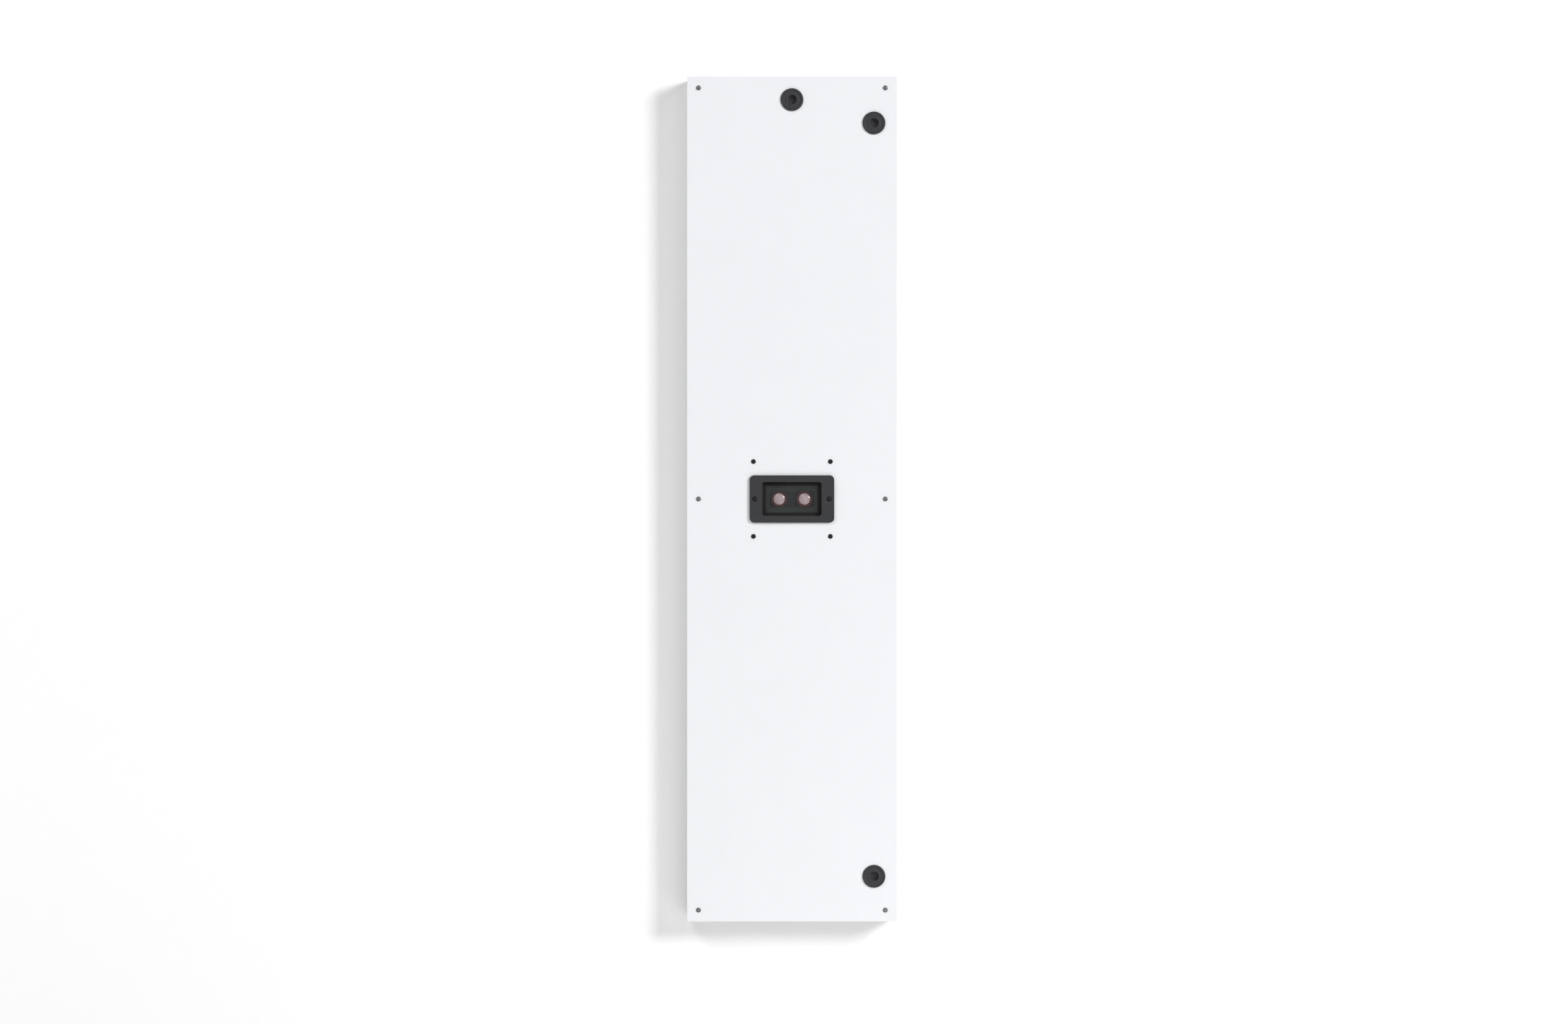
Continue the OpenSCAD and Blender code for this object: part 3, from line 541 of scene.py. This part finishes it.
# how far the bevel reaches on each part, in millimetres
EDGE_RADIUS = {
    "front_plate": 0.35, "plate_seal": 0.25, "sensor_bezel": 0.6, "bezel_seal": 0.1, "sensor_window": 0.25,
    "sensor_shell": 0.3, "sensor_back": 0.3, "sensor_carrier": 0.2, "lens_holder": 0.3, "image_chips": 0.1,
    "sensor_board": 0.1, "carrier_nuts": 0.2, "upper_reflector": 0.15, "lower_reflector": 0.15,
    "antenna_patch_1": 0.15, "antenna_patch_2": 0.15, "antenna_patch_3": 0.15, "antenna_patch_4": 0.15,
    "antenna_sockets": 0.25, "reader_board": 0.15, "network_board": 0.15, "power_board": 0.15,
    "reader_shield": 0.12, "reader_chips": 0.15, "board_sockets": 0.3, "network_jack": 0.25,
    "link_terminal": 0.3, "power_terminal": 0.3, "reset_switch": 0.2, "reset_button": 0.25,
    "power_parts": 0.4, "tamper_switch": 0.4, "tamper_plunger": 0.5, "earth_stud": 0.3,
    "cover_pillars": 0.3, "reflector_pillars": 0.3, "board_pillars": 0.25,
    "patch_posts": 0.3, "feed_pins": 0.15,
}
for node, radius in EDGE_RADIUS.items():
    piece = merged_copy(node)
    break_edges(piece, radius)
    keep(piece, node)
print(len(EDGE_RADIUS), "parts with broken edges")

# %% [markdown]
# The faces inside the sensor's recess get a near-black material that is painted shade: it darkens the recess
# as the shade inside it would. Its flange keeps the grey-black of the bare nylon.

# %% Painted shade inside the recess
RECESS_WIDTH, RECESS_HEIGHT = 70.4 * MM, 40.4 * MM
FLANGE_FACE = 0.8 * MM  # faces shallower than this belong to the flange
bezel = bpy.data.objects["sensor_bezel_piece"]
bezel_middle, bezel_front = middle("sensor_bezel"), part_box("sensor_bezel")[0][1]
# the second material is painted shade on the faces inside the recess
bezel.data.materials.append(recess_painted_shade)
for face in bezel.data.polygons:
    across, up = face.center.x - bezel_middle[0], face.center.z - bezel_middle[2]
    inside = abs(across) < RECESS_WIDTH / 2 and abs(up) < RECESS_HEIGHT / 2
    if inside and face.center.y > bezel_front + FLANGE_FACE:
        face.material_index = 1
# counts the faces that carry the painted shade
print(sum(face.material_index == 1 for face in bezel.data.polygons), "faces given painted recess shade")

# %% [markdown]
# ## Finding each solid of a part
#
# Identical fasteners share one part, as separate solids. To put a detailed screw exactly where each plain one
# is, the part's mesh is split into its loose pieces, and the box of each gives its place and its length.

# %% Boxes of the loose solids
def solids_of(node):
    """The lowest and highest corner of every loose solid of a part, in a fixed order."""
    shape = bmesh.new()
    shape.from_mesh(frame["nodes"][node].data)
    bmesh.ops.remove_doubles(shape, verts=shape.verts, dist=WELD)
    left, boxes = set(shape.verts), []
    while left:
        reached, waiting = set(), [left.pop()]
        while waiting:
            vert = waiting.pop()
            reached.add(vert)
            for edge in vert.link_edges:
                other = edge.other_vert(vert)
                if other in left:
                    left.discard(other)
                    waiting.append(other)
        low = Vector([min(v.co[i] for v in reached) for i in range(3)])
        high = Vector([max(v.co[i] for v in reached) for i in range(3)])
        boxes.append((low, high))
    shape.free()
    return sorted(boxes, key=lambda box: (round(box[0].x, 5), round(box[0].z, 5)))


print("cover screws found:", len(solids_of("cover_screws")))

# %% [markdown]
# ## Turned shapes
#
# Screws, grommets, lens barrels and lenses are all round about one axis, as if made on a lathe. One function
# turns a list of rings into a mesh. A ring is a radius and a height, and it may be a hexagon, for a socket,
# or a knurl, for a grip. Modelling them this way keeps every edge where a lathe tool or a mould would leave
# it.

# %% Lathe
KNURL_DEPTH = 0.18 * MM
LATHE_EDGE = math.radians(38)


def ring_radius(ring, angle, index):
    """How far out a ring lies at an angle. Its third value says round, hex or knurl."""
    radius, kind = ring[0], ring[2] if len(ring) > 2 else "round"
    if kind == "hex":
        return radius / math.cos((angle + math.pi / 6) % (math.pi / 3) - math.pi / 6)
    if kind == "knurl":
        return radius - KNURL_DEPTH * (index % 2)
    return radius


def turned(name, rings, segments=48, closed=False):
    """A shape turned about the Y axis. Heights run towards -Y. A ring of radius 0 is a closed pole."""
    shape = bmesh.new()
    loops = []
    for ring in rings:
        if ring[0] == 0:
            loops.append([shape.verts.new((0, -ring[1], 0))])
            continue
        loop = []
        for k in range(segments):
            angle = 2 * math.pi * k / segments
            out = ring_radius(ring, angle, k)
            loop.append(shape.verts.new((out * math.cos(angle), -ring[1], out * math.sin(angle))))
        loops.append(loop)
    pairs = list(zip(loops, loops[1:])) + ([(loops[-1], loops[0])] if closed else [])
    for a, b in pairs:
        for k in range(segments):
            n = (k + 1) % segments
            corners = [a[k % len(a)], a[n % len(a)], b[n % len(b)], b[k % len(b)]]
            shape.faces.new(list(dict.fromkeys(corners)))
    bmesh.ops.recalc_face_normals(shape, faces=shape.faces)
    mesh = bpy.data.meshes.new(name)
    shape.to_mesh(mesh)
    shape.free()
    mesh.polygons.foreach_set("use_smooth", [True] * len(mesh.polygons))
    mesh.set_sharp_from_angle(angle=LATHE_EDGE)
    piece = bpy.data.objects.new(name, mesh)
    bpy.context.scene.collection.objects.link(piece)
    return piece


def softened(corners, steps=4):
    """Rounds the corners of a profile. A corner is a radius, a height, and how far its rounding reaches."""
    points = []
    for i, (r, h, reach) in enumerate(corners):
        here = Vector((r, h))
        if reach == 0 or i in (0, len(corners) - 1):
            points.append((r, h))
            continue
        before, after = Vector(corners[i - 1][:2]), Vector(corners[i + 1][:2])
        start = here + (before - here).normalized() * min(reach, (before - here).length / 2)
        end = here + (after - here).normalized() * min(reach, (after - here).length / 2)
        for k in range(steps + 1):
            t = k / steps
            point = start * (1 - t) ** 2 + here * 2 * t * (1 - t) + end * t ** 2
            points.append((point.x, point.y))
    return points


def place_in_mesh(piece, x, y, z):
    """Moves the mesh and not the object, so that the finished object stays at the origin."""
    piece.data.transform(Matrix.Translation((x, y, z)))


print("a knurl is %.2f mm deep" % (KNURL_DEPTH / MM))

# %% [markdown]
# ## Repeats by Geometry Nodes
#
# A screw is modelled once and repeated at every hole. The tree takes the points to fill, the model to
# repeat, a seed and a finish. Nobody stops each screw at the same angle, so every copy is turned about its
# own axis by a seeded random amount. The result is turned into one plain mesh, because copies that only
# exist in the tree are lost on export.

# %% A tree that repeats a model at points
def repeat_tree():
    """Instances of a model on points, each turned about Y by a seeded random angle, as real geometry."""
    tree = bpy.data.node_groups.new("repeat_at_points", "GeometryNodeTree")
    wires = tree.interface
    for name, kind in (
        ("Points", "Geometry"), ("Model", "Object"), ("Turn step", "Float"),
        ("Turns", "Int"), ("Seed", "Int"), ("Finish", "Material"),
    ):
        wires.new_socket(name, in_out="INPUT", socket_type="NodeSocket" + kind)
    wires.new_socket("Copies", in_out="OUTPUT", socket_type="NodeSocketGeometry")
    given = tree.nodes.new("NodeGroupInput").outputs
    # the Random Value node keeps a set of sockets for each kind of number, so those for
    # whole numbers go by index
    random_min, random_max, random_seed, random_whole = 4, 5, 8, 2
    steps = add(tree, "FunctionNodeRandomValue", data_type="INT")
    steps.inputs[random_min].default_value = 0
    tree.links.new(given["Turns"], steps.inputs[random_max])
    tree.links.new(given["Seed"], steps.inputs[random_seed])
    angle = add(tree, "ShaderNodeMath", operation="MULTIPLY")
    tree.links.new(steps.outputs[random_whole], angle.inputs[0])
    tree.links.new(given["Turn step"], angle.inputs[1])
    turn = add(tree, "ShaderNodeCombineXYZ", {"Y": angle.outputs[0]})
    model = add(tree, "GeometryNodeObjectInfo", {"Object": given["Model"], "As Instance": True})
    copies = add(
        tree, "GeometryNodeInstanceOnPoints",
        {"Points": given["Points"], "Instance": model.outputs["Geometry"],
         "Rotation": turn.outputs["Vector"]},
    )
    real = add(tree, "GeometryNodeRealizeInstances", {"Geometry": copies.outputs["Instances"]})
    finished = add(
        tree, "GeometryNodeSetMaterial", {"Geometry": real.outputs["Geometry"], "Material": given["Finish"]},
    )
    add(tree, "NodeGroupOutput", {"Copies": finished.outputs["Geometry"]})
    return tree


REPEAT = repeat_tree()


def repeated(name, model, points, finish, seed, turn_step=math.radians(7), turns=51):
    """One plain mesh with the model at every point."""
    mesh = bpy.data.meshes.new(name + "_points")
    mesh.from_pydata(points, [], [])
    piece = bpy.data.objects.new(name, mesh)
    bpy.context.scene.collection.objects.link(piece)
    modifier = piece.modifiers.new("repeat", "NODES")
    modifier.node_group = REPEAT
    values = {"Model": model, "Turn step": turn_step, "Turns": turns, "Seed": seed, "Finish": finish}
    for socket in REPEAT.interface.items_tree:
        if socket.name in values:
            modifier[socket.identifier] = values[socket.name]
    seen = piece.evaluated_get(bpy.context.evaluated_depsgraph_get())
    plain = bpy.data.meshes.new_from_object(seen)
    piece.modifiers.clear()
    piece.data = plain
    bpy.data.objects.remove(model)
    return piece


print("tree sockets:", [s.name for s in REPEAT.interface.items_tree])

# %% [markdown]
# ## Pan-head screws
#
# A pan head is a low dome with a rolled edge and a hexagon socket pressed into it. The shank is a rolled
# thread, whose crests and roots read as fine ridges. Each one reaches exactly from the tip to the top of the
# plain screw that it stands for. The cover screws are turned stainless steel, and those round the sensor are
# blackened so as not to show.

# %% Screws
THREAD_PITCH = 0.5 * MM
THREAD_DEPTH = 0.3 * MM
THREAD_END = 0.1 * MM
RIM_BREAK = 0.15 * MM
SOCKET_APOTHEM = 1.0 * MM
SMALL_SOCKET = 0.6 * MM
SOCKET_DEPTH = 1.0 * MM
SOCKET_LEAD_IN = 0.1 * MM
# a pan head's rounding: how far in from the rim, as a share of its diameter, at each share of its height
HEAD_CURVE = ((0.0, 0.45), (0.06, 0.75), (0.16, 0.95))


def pan_head_screw(head_d, head_h, shank_d, length, socket=SOCKET_APOTHEM):
    """One screw along -Y. Its tip is at height 0 and the top of its head at length."""
    shank, seat = shank_d / 2, length - head_h
    rings = [(0, 0), (shank - THREAD_DEPTH, 0)]
    ridges = int((seat - THREAD_PITCH) / THREAD_PITCH)
    for i in range(ridges):
        base = THREAD_PITCH * (i + 0.5)
        rings += [(shank - THREAD_DEPTH, base), (shank, base + THREAD_PITCH / 2)]
    rings += [(shank - THREAD_DEPTH, seat - THREAD_END), (shank - THREAD_DEPTH, seat)]
    head = head_d / 2
    rings += [(head - RIM_BREAK, seat), (head, seat + RIM_BREAK)]
    rings += [(head - inward * head_d, seat + up * head_h) for inward, up in HEAD_CURVE]
    rings += [(head * 0.5, length), (socket * 1.2, length)]
    rings += [(socket, length - SOCKET_LEAD_IN, "hex"), (socket, length - SOCKET_DEPTH, "hex")]
    rings += [(0, length - SOCKET_DEPTH)]
    return turned("one_screw", rings, segments=24)


def screws(node, head_h_mm, shank_mm, seed, facing=1, socket=SOCKET_APOTHEM):
    """Detailed screws in place of a part's plain ones. facing -1 points their heads at the wall."""
    boxes = solids_of(node)
    low, high = boxes[0]
    model = pan_head_screw(high.x - low.x, head_h_mm * MM, shank_mm * MM, high.y - low.y, socket)
    if facing < 0:
        model.data.transform(Matrix.Rotation(math.pi, 4, "X"))
    points = [((a.x + b.x) / 2, b.y if facing > 0 else a.y, (a.z + b.z) / 2) for a, b in boxes]
    return keep(repeated(node + "_piece", model, points, MATERIALS[slot_of[node]], seed), node)


CASE_HEAD_H, CASE_THREAD = 1.8, 3.0
SMALL_HEAD_H, SMALL_THREAD = 1.2, 2.0
CASE_SCREWS = ("cover_screws", "carrier_screws", "bezel_screws", "reflector_screws", "board_screws")
SMALL_SCREW_SEED = 11
for seed, node in enumerate(CASE_SCREWS):
    piece = screws(node, CASE_HEAD_H, CASE_THREAD, seed)
    print(node, len(solids_of(node)), "screws,", len(piece.data.polygons), "faces")
piece = screws("sensor_back_screws", SMALL_HEAD_H, SMALL_THREAD, SMALL_SCREW_SEED,
               facing=-1, socket=SMALL_SOCKET)
print("sensor_back_screws", len(piece.data.polygons), "faces")

# %% [markdown]
# ## Cable grommets
#
# A grommet is one moulding of soft rubber: a flange behind the plate, a neck in the hole, and a front flange
# with a raised rim, a shallow groove and a collar round the cable hole. A thin membrane closes the hole
# until a cable is pushed through. Rubber can't hold a sharp edge, so every corner of the profile is rounded
# before it is turned.

# %% Grommets
HOLE_R, NECK_R, REAR_R = 5.5 * MM, 10.0 * MM, 11.5 * MM
REAR_T, PLATE_T, MEMBRANE_T = 2.0 * MM, 3.0 * MM, 1.0 * MM
RIM_W, GROOVE, COLLAR_W, COLLAR_DROP = 2.4 * MM, 0.8 * MM, 1.8 * MM, 0.2 * MM
SLOPE = 0.6 * MM
for node in ("grommet_top_centre", "grommet_top_right", "grommet_bottom_right"):
    low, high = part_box(node)
    flange, top = (high.x - low.x) / 2, high.y - low.y
    neck_end = REAR_T + PLATE_T
    # each corner: radius, height, reach of its rounding
    profile = softened([
        (0, 0, 0), (REAR_R, 0, 0.6 * MM), (REAR_R, REAR_T, 0.3 * MM), (NECK_R, REAR_T, 0),
        (NECK_R, neck_end, 0), (flange, neck_end, 0.3 * MM), (flange, top, 1.3 * MM),
        (flange - RIM_W, top, 0.7 * MM), (flange - RIM_W - SLOPE, top - GROOVE, 0.3 * MM),
        (HOLE_R + COLLAR_W + SLOPE, top - GROOVE, 0.3 * MM), (HOLE_R + COLLAR_W, top - COLLAR_DROP, 0.5 * MM),
        (HOLE_R, top - COLLAR_DROP, 0.5 * MM), (HOLE_R, MEMBRANE_T, 0.5 * MM), (0, MEMBRANE_T, 0),
    ])
    piece = turned(node + "_piece", profile, segments=64)
    place_in_mesh(piece, (low.x + high.x) / 2, high.y, (low.z + high.z) / 2)
    keep(piece, node)
    print(node, "flange %.1f mm" % (2 * flange / MM), len(piece.data.polygons), "faces")

# %% [markdown]
# ## Lens barrels and lenses
#
# A barrel is turned from aluminium rod and blackened. Its wide head is knurled so that fingers can focus it,
# and its face slopes towards the lens in fine steps that catch stray light. That face is coloured dark red,
# which makes a dark reddish ring round the pale lens. The lens is a shallow glass dome with a coating; its
# pale pink colour is a painted reflection of the studio light.

# %% Barrels and lenses
STEPS = 4
STEP_DROP, STEP_LIP = 0.12 * MM, 0.1 * MM
TUBE_R, BORE_R, HEAD_T = 6.0 * MM, 4.5 * MM, 3.0 * MM
SEAT_FIT = 0.05 * MM
HEAD_BACK, HEAD_FRONT, KNURL_END = 0.3 * MM, 0.4 * MM, 0.5 * MM
RING_EDGE = 0.2 * MM
RED_FACE_DEPTH = 1.0 * MM
LENS_EDGE = 0.6 * MM
LENS_RINGS = 12
# the barrel's front face is coloured dark red, a ring round the pale lens
red_ring, tree, shader, place = surface("dark_red_barrel_face", "#56302F", 0.4, metallic=0.3)
mottle(tree, shader, noise(tree, place, 1.2), "#4A2A2A", "#633838")
for side in ("left", "right"):
    node = "lens_barrel_" + side
    low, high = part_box(node)
    lens_low, lens_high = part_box("lens_" + side)
    head, length = (high.x - low.x) / 2, high.y - low.y
    lens_r = (lens_high.x - lens_low.x) / 2
    seat = high.y - lens_high.y
    seat_r = lens_r + SEAT_FIT
    shoulder = length - HEAD_T
    rings = [(BORE_R, 0), (TUBE_R, 0), (TUBE_R, shoulder), (head - HEAD_BACK, shoulder)]
    rings += [(head, shoulder + HEAD_BACK, "knurl"), (head, length - KNURL_END, "knurl"),
              (head - HEAD_FRONT, length)]
    width = head - HEAD_FRONT - seat_r - RING_EDGE
    for i in range(STEPS):
        out = head - HEAD_FRONT - RING_EDGE - width * i / STEPS
        drop = length - STEP_DROP * i
        rings += [(out, drop), (out - STEP_LIP, drop - STEP_DROP)]
    rings += [(seat_r, length - STEP_DROP * STEPS), (seat_r, seat), (BORE_R, seat)]
    barrel = turned(node + "_piece", rings, segments=96, closed=True)
    place_in_mesh(barrel, (low.x + high.x) / 2, high.y, (low.z + high.z) / 2)
    barrel.data.materials.append(MATERIALS[slot_of[node]])
    barrel.data.materials.append(red_ring)
    for face in barrel.data.polygons:
        if face.normal.y < -0.5 and face.center.y < low.y + RED_FACE_DEPTH:
            face.material_index = 1
    keep(barrel, node)

    node = "lens_" + side
    tall = lens_high.y - lens_low.y
    dome = tall - LENS_EDGE
    ball = (lens_r ** 2 + dome ** 2) / (2 * dome)
    rings = [(0, 0), (lens_r, 0)]
    for i in range(LENS_RINGS):
        out = lens_r * (1 - i / LENS_RINGS)
        rings.append((out, tall - ball + math.sqrt(ball ** 2 - out ** 2)))
    rings.append((0, tall))
    lens = turned(node + "_piece", rings, segments=64)
    place_in_mesh(lens, (lens_low.x + lens_high.x) / 2, lens_high.y, (lens_low.z + lens_high.z) / 2)
    keep(lens, node)
    print(side, "lens %.1f mm across in a head of %.1f mm" % (2 * lens_r / MM, 2 * head / MM))

# %% [markdown]
# ## The folded tray
#
# The tray is bent from sheet 1.5 mm thick. A press brake can't make a sharp fold: the outside of each bend
# has a radius of about the sheet's own thickness. Cut edges are only deburred. One bevel with a weight on
# each edge makes both, the full width on the folds and a fraction of it everywhere else.

# %% Tray
FOLD_RADIUS = 1.8 * MM
CUT_EDGE = 0.12  # of the fold's radius
tray = merged_copy("rear_tray")
weights = tray.data.attributes.new("bevel_weight_edge", "FLOAT", "EDGE")
close = 0.05 * MM
folds = 0
for edge in tray.data.edges:
    a, b = (tray.data.vertices[i].co for i in edge.vertices)
    outside = [
        all(abs(v[axis] - limit) < close for v in (a, b))
        for axis in (0, 2) for limit in (tray_low[axis], tray_high[axis])
    ]
    at_face = any(
        all(abs(v.y - level) < close for v in (a, b)) for level in (tray_low.y, tray_high.y)
    )
    fold = any(outside) and at_face
    folds += fold
    weights.data[edge.index].value = 1.0 if fold else CUT_EDGE
bevel = tray.modifiers.new("folds", "BEVEL")
bevel.width = FOLD_RADIUS
bevel.segments = 4
bevel.limit_method = "WEIGHT"
flat_faces(tray)
keep(tray, "rear_tray")
print("folds on the tray:", folds)

# %% [markdown]
# ## Inner leads
#
# Each lead is a round jacketed wire on its real route. The plain part is a tube with eight sides, and one
# subdivision rounds it. Its two ends are creased so that they still meet their sockets face to face.

# %% Leads
LEAD_NODES = [n for n in frame["nodes"] if n.startswith("coax_lead") or n.endswith("_lead")]
for node in LEAD_NODES:
    lead = merged_copy(node)
    ends = [face for face in lead.data.polygons if len(face.vertices) > 4]
    creases = lead.data.attributes.new("crease_edge", "FLOAT", "EDGE")
    end_edges = {tuple(sorted(key)) for face in ends for key in face.edge_keys}
    for edge in lead.data.edges:
        creases.data[edge.index].value = 1.0 if tuple(sorted(edge.vertices)) in end_edges else 0.0
    smooth = lead.modifiers.new("round", "SUBSURF")
    smooth.levels = smooth.render_levels = 1
    lead.data.polygons.foreach_set("use_smooth", [True] * len(lead.data.polygons))
    keep(lead, node)
print(len(LEAD_NODES), "leads:", ", ".join(LEAD_NODES))

# %% [markdown]
# ## Small parts on the boards
#
# Between the large parts a board carries rows of tiny ones: resistors and capacitors of 2 by 1.25 mm, dark in
# the middle and tinned at both ends. They stand on a grid, since a machine places them, and some places are
# left empty. A place is used only where nothing larger stands.

# %% Surface-mount parts
CHIP = Vector((2.0, 0.6, 1.25)) * MM
CHIP_EDGE = 0.05 * MM
BODY_SHARE = 0.62  # of a part's length is its dark middle
CHIP_GRID = 5.5 * MM
CHIP_MARGIN = 3.5 * MM
CHIP_SHARE = 0.45  # of the places are filled
FIRST_BOARD_SEED = 21


def rounded_box(name, low, high, radius):
    """A box with softly rounded edges, its place in its mesh."""
    shape = bmesh.new()
    bmesh.ops.create_cube(shape, size=1)
    middle_point, extent = (low + high) / 2, high - low
    for vert in shape.verts:
        vert.co = Vector([middle_point[i] + vert.co[i] * extent[i] for i in range(3)])
    bmesh.ops.bevel(shape, geom=shape.edges[:], offset=radius, segments=1, affect="EDGES")
    mesh = bpy.data.meshes.new(name)
    shape.to_mesh(mesh)
    shape.free()
    piece = bpy.data.objects.new(name, mesh)
    bpy.context.scene.collection.objects.link(piece)
    return piece


def free_places(board, parts, seed):
    """Grid places on a board's face that no larger part covers."""
    low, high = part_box(board)
    taken = [box for part in parts for box in solids_of(part)]
    draw = random.Random(seed)
    places = []
    columns = int((high.x - low.x - 2 * CHIP_MARGIN) / CHIP_GRID)
    rows = int((high.z - low.z - 2 * CHIP_MARGIN) / CHIP_GRID)
    for i in range(columns + 1):
        for k in range(rows + 1):
            x, z = low.x + CHIP_MARGIN + i * CHIP_GRID, low.z + CHIP_MARGIN + k * CHIP_GRID
            used = draw.random() < CHIP_SHARE
            clear = all(
                x < a.x - CHIP.x or x > b.x + CHIP.x or z < a.z - CHIP.x or z > b.z + CHIP.x for a, b in taken
            )
            if used and clear:
                places.append((x, low.y, z))
    return places


LARGE_PARTS = {
    "reader_board": ("reader_shield", "reader_chips", "board_sockets", "board_screws"),
    "network_board": (
        "network_jack", "link_terminal", "reset_switch", "reset_button", "board_sockets", "board_screws",
    ),
    "power_board": ("power_terminal", "power_parts", "board_sockets", "board_screws"),
}
half = CHIP / 2
body_end = half.x * BODY_SHARE


def small_parts(name, start, end, places, finish, seed, board):
    """One slice of a small part, from start to end along its length, at every place."""
    low, high = Vector((start, -CHIP.y, -half.z)), Vector((end, 0, half.z))
    slice_model = rounded_box(name + "_model", low, high, CHIP_EDGE)
    copies = repeated(name, slice_model, places, finish, seed, math.pi / 2, 1)
    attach(copies, body_of[board])


for seed, (board, parts) in enumerate(LARGE_PARTS.items(), start=FIRST_BOARD_SEED):
    places = free_places(board, parts, seed)
    small_parts(board + "_small_parts", -body_end, body_end, places, chip_epoxy, seed, board)
    small_parts(board + "_solder_left", -half.x, -body_end, places, tinned_sheet, seed, board)
    small_parts(board + "_solder_right", body_end, half.x, places, tinned_sheet, seed, board)
    print(board, len(places), "small parts")

# %% Closing lines
bpy.context.view_layer.update()
